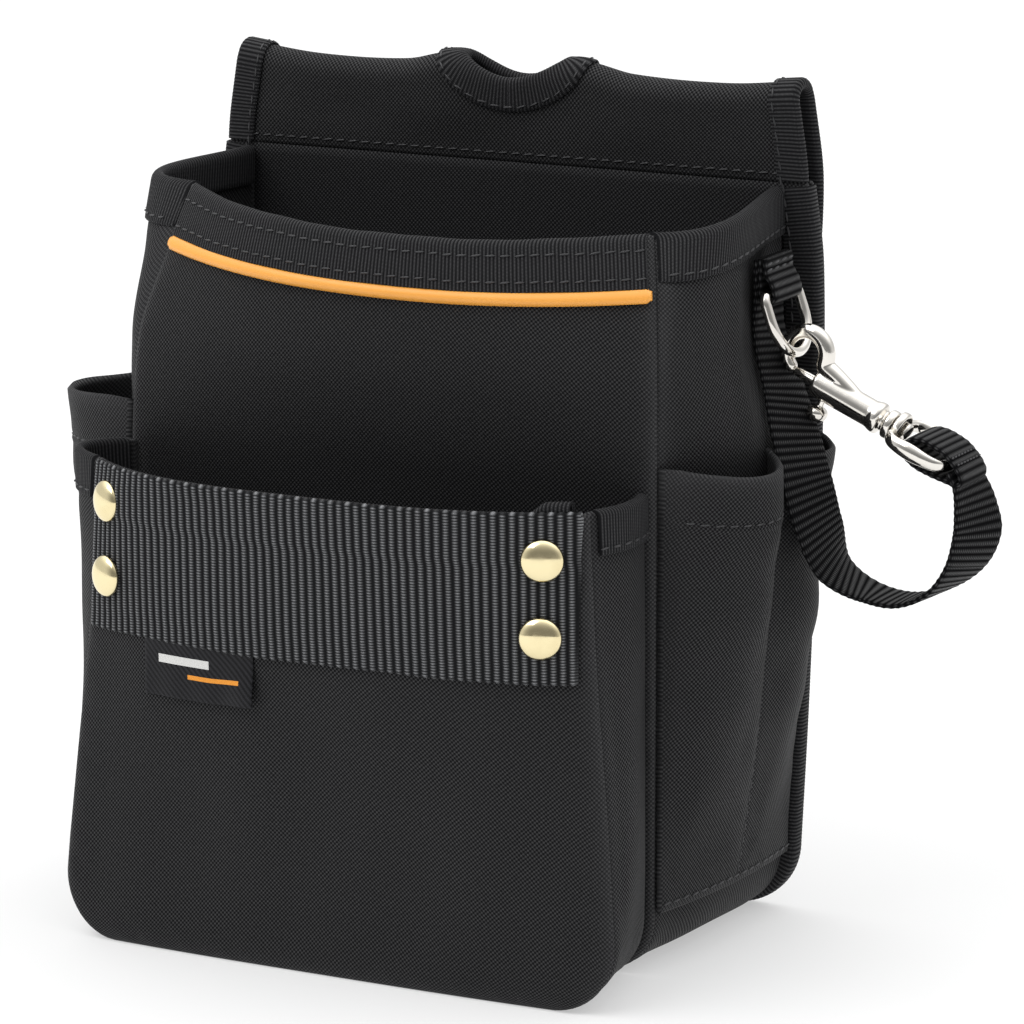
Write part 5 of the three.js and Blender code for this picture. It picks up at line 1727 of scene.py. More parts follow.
    def rivets(self) -> None:
        """Domed brass caps over the band and washers inside the pouch."""
        seats, looks = self.seats()
        under = self.band_rest + WEBBING - 0.35
        dome = [(0, -3.2), (1.7, -3.2), (1.7, under - 0.4), (5.7, under - 0.4),
                (6.15, under - 0.25), (6.4, under + 0.2)]
        for angle in np.radians(np.linspace(12, 90, 14)):
            dome.append((6.42 * math.cos(angle), under + 0.15 + 2.85 * math.sin(angle)))
        washer = [(2.0, -3.2), (5.0, -3.2), (5.2, -3.35), (5.2, -4.1), (4.9, -4.35), (3.4, -4.6),
                  (2.0, -4.3), (2.0, -3.2)]
        names = [f"{hand}_{row}" for hand in ("right", "left") for row in ("upper", "lower")]
        for kind, outline, count in (("cap", dome, 56), ("washer", washer, 40)):
            head = turned(f"rivet_{kind}_head", outline, count)
            holder = with_up("rivet_seats", seats, [], looks)
            rivets = grown(holder, seat_tree(head), f"rivet_{kind}s", Size=1.0,
                           Finish=self.finishes.brass)
            bpy.data.objects.remove(head)
            place(rivets, Body.POUCH, Slot.RIVET, *[f"rivet_{kind}_{name}" for name in names])

    def build(self) -> None:
        """Builds every piece of the front pouch."""
        self.panel()
        self.gusset()
        self.tapes()
        self.band()
        self.tag()
        self.rivets()


def turned(name: str, outline: list, count: int) -> Piece:
    """A turned piece about +Z from pairs of radius and height."""
    radius, height = np.array(outline, float).T
    angle = np.linspace(0, 2 * math.pi, count, endpoint=False)[:, None]
    rings = np.stack([radius * np.cos(angle), radius * np.sin(angle), height + 0 * angle], -1)
    n, m, _ = rings.shape
    index = np.arange(n * m).reshape(n, m)
    after = np.roll(index, -1, 0)
    quads = np.stack([index[:, :-1], after[:, :-1], after[:, 1:], index[:, 1:]], -1).reshape(-1, 4)
    piece = make_mesh(name, rings.reshape(-1, 3), quads.tolist(), weld=True)
    piece.data.set_sharp_from_angle(angle=math.radians(48))
    return piece


@dataclass
class SidePocket:
    """Open pocket on one side gusset, with a sewn divider and a folded hem."""

    side: Side
    pattern: Pattern
    finishes: Finishes
    stitching: Stitching
    bottom: float = 20
    rim: float = 156
    reach: tuple = ((20, 0), (36, 0.4), (156, 13.5))
    hem: float = 17
    sag: float = 4

    def __post_init__(self) -> None:
        """Gives the right pocket its wider, higher mouth."""
        if self.side is Side.RIGHT:
            self.rim, self.sag = 160.5, 2.5
            self.reach = ((20, 0), (36, 1), (100, 13), (135, 20), (160.5, 21))

    def swell(self, z: Array, t: Array) -> Array:
        """How far the pocket stands off the gusset."""
        reach = profile(self.reach, z)
        front = hump(t / 0.5, 0.55, 0.8)
        back = hump((t - 0.5) / 0.5, 1.1, 0.55)
        return reach * np.where(t <= 0.5, front, back)

    def face(self, z: Array, t: Array, away: Array) -> Array:
        """The pocket's inner face plus a distance away from it."""
        points = self.pattern.gusset_side(self.side, z, t)
        part = np.where(t <= 0.5, t / 0.5, (t - 0.5) / 0.5)
        share = (z - self.bottom) / (self.rim - self.bottom)
        points[..., 0] += self.side.value * (0.6 + away + self.swell(z, t))
        points[..., 2] = z - self.sag * hump(part, 0.6, 0.6) * share**3
        return points

    def build(self) -> None:
        """Builds the pocket and sews it."""
        t = np.concatenate([np.linspace(0, 0.5, 38), np.linspace(0.5, 0.985, 37)[1:]])[None, :]
        z = np.concatenate([np.linspace(self.bottom, self.rim - 20, 50),
                            np.linspace(self.rim - 19, self.rim, 24)])[:, None]
        below = self.rim - z
        fold = 0.55 * smooth(below, self.hem + 1.2, self.hem - 0.6)
        groove = 0.45 * np.exp(-(((below - self.hem + 2) / 0.9) ** 2))
        side = self.side
        wave = ripple(78 * t + 0 * z, z + 0 * t, 61 + side.value, 42, 0.8)
        seam = np.minimum(np.abs(t - 0.5), np.minimum(t, 0.985 - t)) * 78
        seam = np.minimum(seam, (z - self.bottom) * 0.8 + 0 * t)
        wave = wave * smooth(seam, 1, 12) - edge_roll(seam + 0.4, 2.4, 0.9)
        gathers = pucker(z + 78 * t, seam, 62, 0.3) * smooth(seam, 0, 3)
        outer = self.face(z, t, FABRIC + wave + gathers + fold - groove)
        inner = self.face(z, t, 0 * z + 0 * t)
        name = side.name.lower()
        worn = np.exp(-(below + 0 * t) / 3) + np.exp(-np.abs(seam) / 2) * 0.6
        pocket = shell(f"side_pocket_{name}_cloth", outer, inner, np.clip(worn, 0, 1), 0.5)
        place(dress(pocket, self.finishes.nylon), Body.POUCH, Slot.NYLON, f"side_pocket_{name}")
        out = np.array([side.value, 0, 0])
        proud = out * 0.12
        hem_row = int(np.argmin(np.abs(below[:, 0] - self.hem + 2)))
        foot_row = int(np.argmin(np.abs(z[:, 0] - self.bottom - 3.5)))
        for row in (hem_row, foot_row):
            self.stitching.row(resample(outer[row, 2:-2] + proud, 0.8), out)
        divider = int(np.argmin(np.abs(t[0] - 0.5)))
        self.stitching.row(resample(outer[2:-2, divider] + proud, 0.8), out)


@dataclass
class Back:
    """Back panel, its board and outer ply, and the tape round their edges."""

    pattern: Pattern
    finishes: Finishes
    stitching: Stitching
    top: float = 230
    foot: float = 1.5
    tape: float = 9.5

    def half(self, z: Array) -> Array:
        """Half-width at a height."""
        return profile(self.pattern.back_half, z) - corner_cut(z - self.foot, self.pattern.back_corner)

    def ply(self, name: str, front: float, thickness: float, material: Finish, node: str) -> None:
        """One sewn ply of the back.

        Args:
            name: The piece's name.
            front: The y of its front face.
            thickness: Its thickness.
            material: Its finish.
            node: The CAD node that it stands for.
        """
        u = spread(84)[None, :]
        z = self.foot + corner_heights(self.pattern.back_corner, self.top - self.foot, 3)[:, None]
        x = u * self.half(z)
        wave = ripple(x, z + 0 * x, 71, 90, 0.25) * smooth((1 - np.abs(u)) * 100, 8, 25)
        y = front + 0 * x
        outer = np.stack([x, y - 0.12 * np.abs(wave), z + 0 * x], -1)
        inner = np.stack([x, y + thickness + 0.1 * wave, z + 0 * x], -1)
        wear = np.exp(-(1 - np.abs(u)) * 40) + 0 * x
        place(dress(shell(name, outer, inner, wear), material), Body.POUCH, Slot.NYLON, node)

    def edge(self) -> None:
        """Tape folded round the back's two sides and its foot."""
        radius = self.pattern.back_corner
        heights = np.linspace(self.top - 0.4, self.foot + radius, 120)
        turn = np.radians(np.linspace(0, 90, 24)[1:])
        centre = float(self.half(np.array(self.foot + radius))) - radius
        x = np.concatenate([self.half(heights), centre + radius * np.cos(turn),
                            np.linspace(centre, 0, 40)[1:]])
        z = np.concatenate([heights, self.foot + radius - radius * np.sin(turn),
                            self.foot + np.zeros(39)])
        path = np.stack([np.concatenate([x, -x[-2::-1]]), np.concatenate([z, z[-2::-1]])], -1)
        path = resample(path, 0.36)
        tangent = unit(np.gradient(path, axis=0))
        outward = np.stack([-tangent[:, 1], tangent[:, 0]], -1)
        outward *= np.sign((outward * (path - [0, 110])).sum(1, keepdims=True))
        leg, near, far = self.tape, 39.95, 45.05
        section = [(-leg, near - 0.8), (-leg / 2, near - 0.85), (-1, near - 0.8),
                   (0.35, near - 0.45), (0.95, near + 0.5),
                   (1.1, (near + far) / 2), (0.95, far - 0.5), (0.35, far + 0.45), (-1, far + 0.8),
                   (-leg / 2, far + 0.85), (-leg, far + 0.8), (-leg - 0.2, far + 0.4), (-leg, far),
                   (-leg / 2, far), (-0.2, far), (0.3, (near + far) / 2), (-0.2, near), (-leg / 2, near),
                   (-leg, near), (-leg - 0.2, near - 0.4)]
        rings = np.stack([
            np.stack([path[:, 0] + outward[:, 0] * out, 0 * path[:, 0] + y,
                      path[:, 1] + outward[:, 1] * out], -1)
            for out, y in section
        ], 1)
        tape = self.finishes.ribbed("back_edge_binding", rings, self.finishes.tape)
        place(tape, Body.POUCH, Slot.BINDING, "back_edge_tape")
        inward = path - outward * (leg - 2)
        for y, look in ((near - 0.95, -1), (far + 0.95, 1)):
            row = np.stack([inward[:, 0], 0 * inward[:, 0] + y, inward[:, 1]], -1)
            self.stitching.row(row[::4], (0, look, 0))

    def build(self) -> None:
        """Builds the back."""
        self.ply("back_panel_cloth", 40, 1.6, self.finishes.lining, "back_panel")
        self.ply("back_outer_cloth", 43.4, 1.6, self.finishes.nylon, "back_outer_panel")
        self.edge()
        for node in ("back_board", "base_board"):
            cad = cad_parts[node]
            cad.data.materials.clear()
            cad.data.materials.append(self.finishes.board)


@dataclass
class BeltFlap:
    """Flap that folds over the top and down the back to make the belt tunnel, notched in the middle."""

    pattern: Pattern
    finishes: Finishes
    stitching: Stitching
    ply: float = 1.6
    fold_radius: float = 5.5
    widths: tuple = ((188, 100), (230, 102), (256, 98.5))
    notch_centre: float = 292.11
    notch_radius: float = 37.31
    collar: float = 10
    side_tape: float = 9.5
    crown: tuple = ((-100, 2.4), (-72, -0.6), (-40, -0.4), (-22, 3.0), (0, 0.6), (22, 2.6),
                    (40, -0.6), (72, -1.4), (97, 0.8))

    def __post_init__(self) -> None:
        """Lays out the flap's side view."""
        turn = np.radians(np.linspace(180, 0, 25))
        fold = np.stack([46.3 + self.fold_radius * np.cos(turn),
                         253.7 + self.fold_radius * np.sin(turn)], -1)
        path = np.concatenate([[[40.8, 230.3]], fold, [[51.8, 203], [46.1, 195], [46.1, 188]]])
        path = rounded(resample(path, 0.5), 6)
        self.path = path
        self.place = lengths(path)
        tangent = unit(np.gradient(path, axis=0))
        self.normal = np.stack([-tangent[:, 1], tangent[:, 0]], -1)

    def side_view(self, s: Array) -> tuple:
        """The y, z and outward look of the flap at a length along it."""
        s = np.asarray(s, float)
        read = [np.interp(s, self.place, column) for column in (*self.path.T, *self.normal.T)]
        beyond = np.minimum(s, 0)
        return read[0], read[1] + beyond, read[2], read[3]

    def at(self, x: Array, s: Array, away: Array) -> Array:
        """A point off the middle of the flap's ply, towards the outside if away is above 0."""
        x, s, away = np.broadcast_arrays(np.asarray(x, float), s, away)
        y, z, ny, nz = self.side_view(s)
        lift = smooth(z, 234, 258)
        wave = profile(self.crown, x) * lift
        lean = 0.5 * ripple(x, s, 81, 60, 1) * smooth(z, 232, 246)
        return np.stack([x, y + ny * away + lean * (y < 46.3), z + nz * away + wave], -1)

    def half(self, s: Array) -> Array:
        """Half-width at a length along the flap."""
        return profile(self.widths, self.side_view(s)[1])

    def notch(self, s: Array) -> Array:
        """Half-width of the notch at a length along the flap."""
        reach = np.maximum(self.notch_radius**2 - (self.side_view(s)[1] - self.notch_centre) ** 2, 0)
        return np.sqrt(reach)

    def cloth(self) -> None:
        """The flap's own ply."""
        s = np.concatenate([np.linspace(0, self.place[-1], 110), self.notch_ends()])
        s = np.unique(np.round(s, 4))[:, None]
        t = ((spread(46, 0.5) + 1) / 2)[None, :]
        halves = []
        for sign in (-1, 1):
            x = sign * (self.notch(s) + (self.half(s) - 0.9 - self.notch(s)) * t)
            grid = self.at(x, s, 0 * x)
            rows, cols, _ = grid.shape
            index = np.arange(rows * cols).reshape(rows, cols)
            quads = np.stack([index[:-1, :-1], index[:-1, 1:], index[1:, 1:], index[1:, :-1]],
                             -1).reshape(-1, 4)
            uv = np.stack([x, s + 0 * x], -1).reshape(-1, 2)
            quads = quads if sign < 0 else quads[:, ::-1]
            halves.append((grid.reshape(-1, 3), quads, uv[quads.reshape(-1)]))
        verts = np.concatenate([halves[0][0], halves[1][0]])
        quads = np.concatenate([halves[0][1], halves[1][1] + len(halves[0][0])])
        uv = np.concatenate([halves[0][2], halves[1][2]])
        flap = make_mesh("belt_flap_cloth", verts, quads.tolist(), uv, np.zeros(len(verts)), weld=True)
        thick = flap.modifiers.new("ply", "SOLIDIFY")
        thick.thickness = self.ply * MM
        thick.offset = 0
        flap = baked(flap, "belt_flap_cloth")
        place(dress(flap, self.finishes.nylon), Body.POUCH, Slot.NYLON, "belt_flap")

    def notch_ends(self) -> Array:
        """Lengths along the flap close to both ends of the notch."""
        s = np.linspace(0, self.place[-1], 4000)
        inside = s[self.notch(s) > 0]
        fan = np.array([0, 0.05, 0.2, 0.5, 0.9, 1.5])
        return np.concatenate([inside[0] + fan, inside[-1] - fan])

    def rim(self) -> Array:
        """The notch's edge, round both plies, as pairs of x and length along the flap."""
        s = np.linspace(0, self.place[-1], 4000)
        inside = s[self.notch(s) > 0]
        ease = (1 - np.cos(np.linspace(0, math.pi, 200))) / 2
        s = inside[0] + (inside[-1] - inside[0]) * ease
        x = self.notch(s)
        x[[0, -1]] = 0
        loop = np.concatenate([np.stack([x, s], -1), np.stack([-x, s], -1)[-2::-1]])
        return resample(loop, 0.34)[:-1]

    def collar_tape(self) -> None:
        """Tape folded over the notch's edge, all the way round."""
        loop = self.rim()
        tangent = unit(np.roll(loop, -1, 0) - np.roll(loop, 1, 0))
        for _ in range(8):
            tangent = unit(tangent + (np.roll(tangent, 1, 0) + np.roll(tangent, -1, 0)) / 2)
        away_from = np.stack([tangent[:, 1], -tangent[:, 0]], -1)
        middle = loop.mean(0)
        away_from *= np.sign((away_from * (loop - middle)).sum(1, keepdims=True))
        section = u_section(self.collar, self.collar, self.ply, 0.25)
        section = section + [self.ply / 2, -1.0]

        def ring(away: float, inset: float) -> Array:
            """Points off the notch's edge."""
            spot = loop + away_from * inset
            return self.at(spot[:, 0], spot[:, 1], away + 0 * spot[:, 0])

        rings = np.stack([ring(away, inset) for away, inset in section], 1)
        around = float(np.linalg.norm(np.roll(rings.mean(1), -1, 0) - rings.mean(1), axis=1).sum())
        pitch = around / round(around / 1.15)
        tape = self.finishes.ribbed("notch_binding", rings, self.finishes.tape, pitch, closed=True)
        place(tape, Body.POUCH, Slot.BINDING, "flap_notch_tape")
        for look in (1, -1):
            row = ring(look * (self.ply / 2 + 1.15), self.collar - 2.2)
            self.stitching.row(np.concatenate([row, row[:1]]), self.looks(loop + away_from * 7, look))

    def looks(self, spots: Array, sign: int) -> Array:
        """The ways that the flap faces at pairs of x and length, with the first repeated at the end."""
        _, _, ny, nz = self.side_view(np.append(spots[:, 1], spots[0, 1]))
        return np.stack([0 * ny, ny, nz], -1) * sign

    def side_tapes(self) -> None:
        """Tape folded over each side edge, front to back."""
        s = np.linspace(0.6, self.place[-1] - 0.4, int(self.place[-1] / 0.3))
        section = u_section(self.side_tape, self.side_tape, self.ply, 0.25)
        section = section + [self.ply / 2, -1.0]
        for side in Side:
            rings = np.stack([
                self.at(side.value * (self.half(s) - 0.9 - inset), s, away + 0 * s)
                for away, inset in section
            ], 1)
            name = side.name.lower()
            tape = self.finishes.ribbed(f"flap_binding_{name}", rings, self.finishes.tape)
            place(tape, Body.POUCH, Slot.BINDING, f"flap_tape_{name}")
            x = side.value * (self.half(s) - self.side_tape + 1.3)
            _, _, ny, nz = self.side_view(s)
            self.stitching.row(self.at(x, s, self.ply / 2 + 1.15 + 0 * s)[::3],
                               np.stack([0 * ny, ny, nz], -1)[::3])

    def seams(self) -> None:
        """Stitch rows across the flap's root and across its tail."""
        x = np.linspace(-92, 92, 200)
        for s in (2.6, self.place[-1] - 3, self.place[-1] - 9):
            _, _, ny, nz = self.side_view(s + 0 * x)
            row = self.at(x, s + 0 * x, self.ply / 2 + 0.15 + 0 * x)
            self.stitching.row(row, np.stack([0 * ny, ny, nz], -1))

    def build(self) -> None:
        """Builds the flap, its tapes and its seams."""
        self.cloth()
        self.collar_tape()
        self.side_tapes()
        self.seams()


# ------------------------------------------------------------------ hardware and strap
@dataclass(frozen=True)
class Tilted:
    """A part's own frame: its place, and how far its +X dips below the horizontal."""

    origin: tuple
    dip: float

    def out(self, points: Array) -> Array:
        """Points of the part's frame in the pouch's frame."""
        c, s = math.cos(math.radians(self.dip)), math.sin(math.radians(self.dip))
        turn = np.array([[c, 0, s], [0, 1, 0], [-s, 0, c]])
        return points @ turn.T + np.array(self.origin)


STRAP_RIB_PITCH = 2.3
STRAP_RIB = 0.15
STRAP_WIDTH = 19
STRAP_PLY = 1.2
RING_FRAME = Tilted((103.3, 18.5, 201), -18.9)
HOOK_FRAME = Tilted((109.487, 18.5, 182.930), 23.9)


def wire(path: Array, radius: Array, flat: Array, squash: float = 1, count: int = 20) -> Array:
    """Rings of a round or flattened wire along a path in one plane.

    Args:
        path: The path's points; a closed path doesn't repeat its first.
        radius: Radius at each point.
        flat: The plane's normal.
        squash: Thickness along the plane's normal, as a share of the thickness across it.
        count: Points round the wire.

    Returns:
        Points, (stations, points round, 3).
    """
    closed = np.linalg.norm(path[0] - path[-1]) < 3 * np.linalg.norm(path[1] - path[0])
    tangent = np.roll(path, -1, 0) - np.roll(path, 1, 0) if closed else np.gradient(path, axis=0)
    across = unit(np.cross(np.asarray(flat, float), unit(tangent)))
    angle = np.linspace(0, 2 * math.pi, count, endpoint=False)[None, :, None]
    radius = np.broadcast_to(np.asarray(radius, float), (len(path),))[:, None, None]
    return (
        path[:, None]
        + radius * (np.cos(angle) * across[:, None] + np.sin(angle) * np.asarray(flat, float) * squash)
    )


def dome_end(rings: Array, steps: int = 5) -> Array:
    """Rings with a rounded cap added at the last one."""
    centre = rings[-1].mean(0)
    onward = unit(centre - rings[-2].mean(0))
    size = np.linalg.norm(rings[-1] - centre, axis=1).min()
    caps = []
    for turn in np.radians(np.linspace(0, 86, steps + 1)[1:]):
        caps.append(centre + (rings[-1] - centre) * math.cos(turn) + onward * size * math.sin(turn))
    return np.concatenate([rings, np.stack(caps)])


def lathe(name: str, outline: list, axis_z: float, frame_out: Callable, count: int = 48,
          sharp: float = 40) -> Piece:
    """A turned piece about a part's own X.

    Args:
        name: The piece's name.
        outline: Pairs of radius and x, from one end of the axis to the other.
        axis_z: Height of the axis in the part's frame.
        frame_out: Takes points from the part's frame to the pouch's.
        count: Points round the axis.
        sharp: Angle in degrees past which an edge is shaded sharp.

    Returns:
        The piece.
    """
    radius, x = np.array(outline, float).T[:, :, None]
    angle = np.linspace(0, 2 * math.pi, count, endpoint=False)[None, :]
    rings = np.stack([x + 0 * angle, radius * np.cos(angle), axis_z + radius * np.sin(angle)], -1)
    return sweep(name, frame_out(rings), weld=True, sharp=sharp)


def webbing_rings(path: Array, across: Array) -> Array:
    """Rings of the flat strap with soft selvedges.

    Args:
        path: The strap's middle.
        across: The way its width lies at each point.

    Returns:
        Points, (stations, points round, 3).
    """
    tangent = unit(np.gradient(path, axis=0))
    across = unit(across - tangent * (across * tangent).sum(1, keepdims=True))
    face = np.cross(across, tangent)
    half, share, crown = STRAP_WIDTH / 2, np.linspace(-1, 1, 11), 0.12
    top = np.stack([share * (half - 0.35), STRAP_PLY / 2 + crown * (1 - share**2)], -1)
    edge = np.array([[half - 0.08, STRAP_PLY * 0.3], [half, 0], [half - 0.08, -STRAP_PLY * 0.3]])
    section = np.concatenate([top, edge, -top, -edge])
    return path[:, None] + section[None, :, :1] * across[:, None] + section[None, :, 1:] * face[:, None]


@dataclass
class RingTab:
    """Loop of webbing that holds the D-ring on the back's side edge."""

    finishes: Finishes
    stitching: Stitching
    y: float = 18.5

    def build(self) -> None:
        """Builds the tab and its bar-tack."""
        turn = np.radians(np.linspace(180, 360, 28))
        arc = np.stack([103.3 + 2.55 * np.cos(turn), 201 + 2.55 * np.sin(turn)], -1)
        route = np.concatenate([[[100.75, 212], [100.75, 206]], arc,
                                [[104.9, 204], [102.6, 207.5], [102.3, 212]]])
        route = rounded(resample(route, 0.32), 4)
        path = np.stack([route[:, 0], 0 * route[:, 0] + self.y, route[:, 1]], -1)
        across = np.zeros_like(path) + [0, 1, 0]
        rings = webbing_rings(path, across)
        pitch = lengths(path)[-1] / round(lengths(path)[-1] / STRAP_RIB_PITCH)
        tab = self.finishes.ribbed("ring_tab_cloth", rings, self.finishes.strap, pitch, STRAP_RIB)
        place(tab, Body.POUCH, Slot.WEBBING, "ring_tab")
        y = np.linspace(self.y - 7.5, self.y + 7.5, 30)
        for z in (208.6, 210.4):
            self.stitching.row(np.stack([103.35 + 0 * y, y, z + 0 * y], -1), (1, 0, 0))


@dataclass
class DRing:
    """Bent and welded wire D."""

    finishes: Finishes
    radius: float = 1.65
    half: float = 11.75
    corner: float = 2.4
    drop: float = 7.35

    def build(self) -> None:
        """Builds the ring, hanging in its own frame's x = 0 plane."""
        bend = np.radians(np.linspace(90, 0, 10))
        straight = self.half - self.corner
        right = np.stack([straight + self.corner * np.cos(bend),
                          -self.corner + self.corner * np.sin(bend)], -1)
        turn = np.radians(np.linspace(0, -180, 60))
        bow = np.stack([self.half * np.cos(turn), -self.drop + self.half * np.sin(turn)], -1)
        left = right[::-1] * [-1, 1]
        loop = np.concatenate([[[-straight, 0], [0, 0]], right, bow, left])
        loop = resample(loop, 0.55)[:-1]
        path = np.stack([0 * loop[:, 0], loop[:, 0], loop[:, 1]], -1)
        rings = wire(path, self.radius, (1, 0, 0))
        ring = sweep("d_ring_wire", RING_FRAME.out(rings), closed=True)
        place(dress(ring, self.finishes.nickel), Body.RING, Slot.NICKEL, "d_ring")


@dataclass
class SnapHook:
    """Bolt snap: cast hook and barrel, sliding bolt with its knob, and spring."""

    finishes: Finishes
    axis_z: float = -5.6

    def body(self) -> None:
        """Cast hook with its bored and slotted barrel."""
        outline = [(0, 8.7), (3.6, 8.7), (3.9, 8.8), (4.3, 9.5), (4.35, 29), (4.9, 30.6),
                   (5.0, 31.2), (5.0, 32.2),
                   (4.7, 32.7), (3.2, 33.4), (3.2, 34.2), (4.4, 34.7), (4.7, 35.2), (4.7, 37),
                   (4.4, 37.4), (2, 37.4),
                   (2, 41), (3.3, 41), (3.4, 41.4), (3.1, 42.3), (2, 42.7), (0, 42.8)]
        barrel = lathe("hook_barrel", outline, self.axis_z, HOOK_FRAME.out)
        turn = np.radians(np.linspace(-8, 244, 60))
        arc = np.stack([2.6 + 6.7 * np.cos(turn), 1.1 + 6.7 * np.sin(turn)], -1)
        route = resample(np.concatenate([[[24, -4.0], [20, -2.6], [16, -1.4], [12.2, -0.4]], arc]), 0.4)
        route = rounded(route, 8)
        share = lengths(route) / lengths(route)[-1]
        radius = profile([(0, 2.3), (0.2, 2.7), (0.3, 2.8), (0.6, 2.45), (1, 2.0)], share)
        path = np.stack([route[:, 0], 0 * route[:, 0], route[:, 1]], -1)
        loop = sweep("hook_loop", HOOK_FRAME.out(dome_end(wire(path, radius, (0, 1, 0), 1.0, 24))))
        cast = fused("hook_cast", 0.27, 10, barrel, loop)
        bore = lathe("hook_bore", [(0, 4), (2.7, 4), (2.7, 30.5), (0, 30.5)], self.axis_z,
                     HOOK_FRAME.out, 32)
        slot = sweep("hook_slot", HOOK_FRAME.out(self.slot_rings()))
        cast = bored("hook_cast", cast, 42, bore, slot)
        place(dress(cast, self.finishes.nickel), Body.HOOK, Slot.NICKEL, "hook_body")

    def slot_rings(self) -> Array:
        """Round-ended slot under the barrel for the knob's stem."""
        turn = np.radians(np.linspace(-90, 90, 9))
        end = np.stack([1.4 * np.cos(turn), 1.4 * np.sin(turn)], -1)
        outline = np.concatenate([end + [21.1, 0], -end + [12.8, 0]])
        return np.stack([np.stack([outline[:, 0], outline[:, 1], z + 0 * outline[:, 0]],
                                  -1) for z in (-12, -6.2)])

    def bolt(self) -> None:
        """Sliding bolt with its stem and knob."""
        outline = [(0, 1.0), (0.8, 1.05), (1.2, 1.4), (1.5, 2.0), (1.5, 10.4), (1.7, 10.6),
                   (2.2, 10.7), (2.3, 10.9),
                   (2.3, 16.3), (2.1, 16.5), (0, 16.5)]
        rod = lathe("bolt_rod", outline, self.axis_z, HOOK_FRAME.out, 36)
        knob = [(0, -6.4 - 4.6), (0.9, -10.9), (2.2, -10.5), (3.0, -9.8), (3.3, -8.7),
                (3.25, -7.6), (2.7, -6.8),
                (1.6, -6.2), (1.15, -5.9), (1.1, -5.5), (1.1, 0.6), (0, 0.6)]
        radius, height = np.array(knob).T[:, :, None]
        angle = np.linspace(0, 2 * math.pi, 36, endpoint=False)[None, :]
        rings = np.stack([13.2 + radius * np.cos(angle), radius * np.sin(angle),
                          self.axis_z + height + 0 * angle], -1)
        knob = sweep("bolt_knob", HOOK_FRAME.out(rings), weld=True, sharp=50)
        bolt = join_pieces("hook_bolt_turned", rod, knob)
        place(dress(bolt, self.finishes.nickel), Body.BOLT, Slot.NICKEL, "hook_bolt")

    def spring(self) -> None:
        """Coil spring behind the bolt's head, made at one length; the real one flattens as the bolt
        slides.
        """
        turns, wire_radius = 6.5, 0.36
        turn = np.linspace(0, turns * 2 * math.pi, 150)
        start, end = 17.0, 29.8
        x = start + (end - start) * turn / turn[-1]
        path = np.stack([x, 1.85 * np.cos(turn), self.axis_z + 1.85 * np.sin(turn)], -1)
        tangent = unit(np.gradient(path, axis=0))
        radial = np.stack([0 * turn, np.cos(turn), np.sin(turn)], -1)
        side = np.cross(tangent, radial)
        angle = np.linspace(0, 2 * math.pi, 8, endpoint=False)[None, :, None]
        rings = (
            path[:, None]
            + wire_radius * (np.cos(angle) * radial[:, None] + np.sin(angle) * side[:, None])
        )
        spring = sweep("bolt_spring_coil", HOOK_FRAME.out(rings))
        place(dress(spring, self.finishes.spring), Body.HOOK, Slot.SPRING, "bolt_spring")
        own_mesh(spring)

    def build(self) -> None:
        """Builds the hook, its bolt and its spring."""
        self.body()
        self.bolt()
        self.spring()


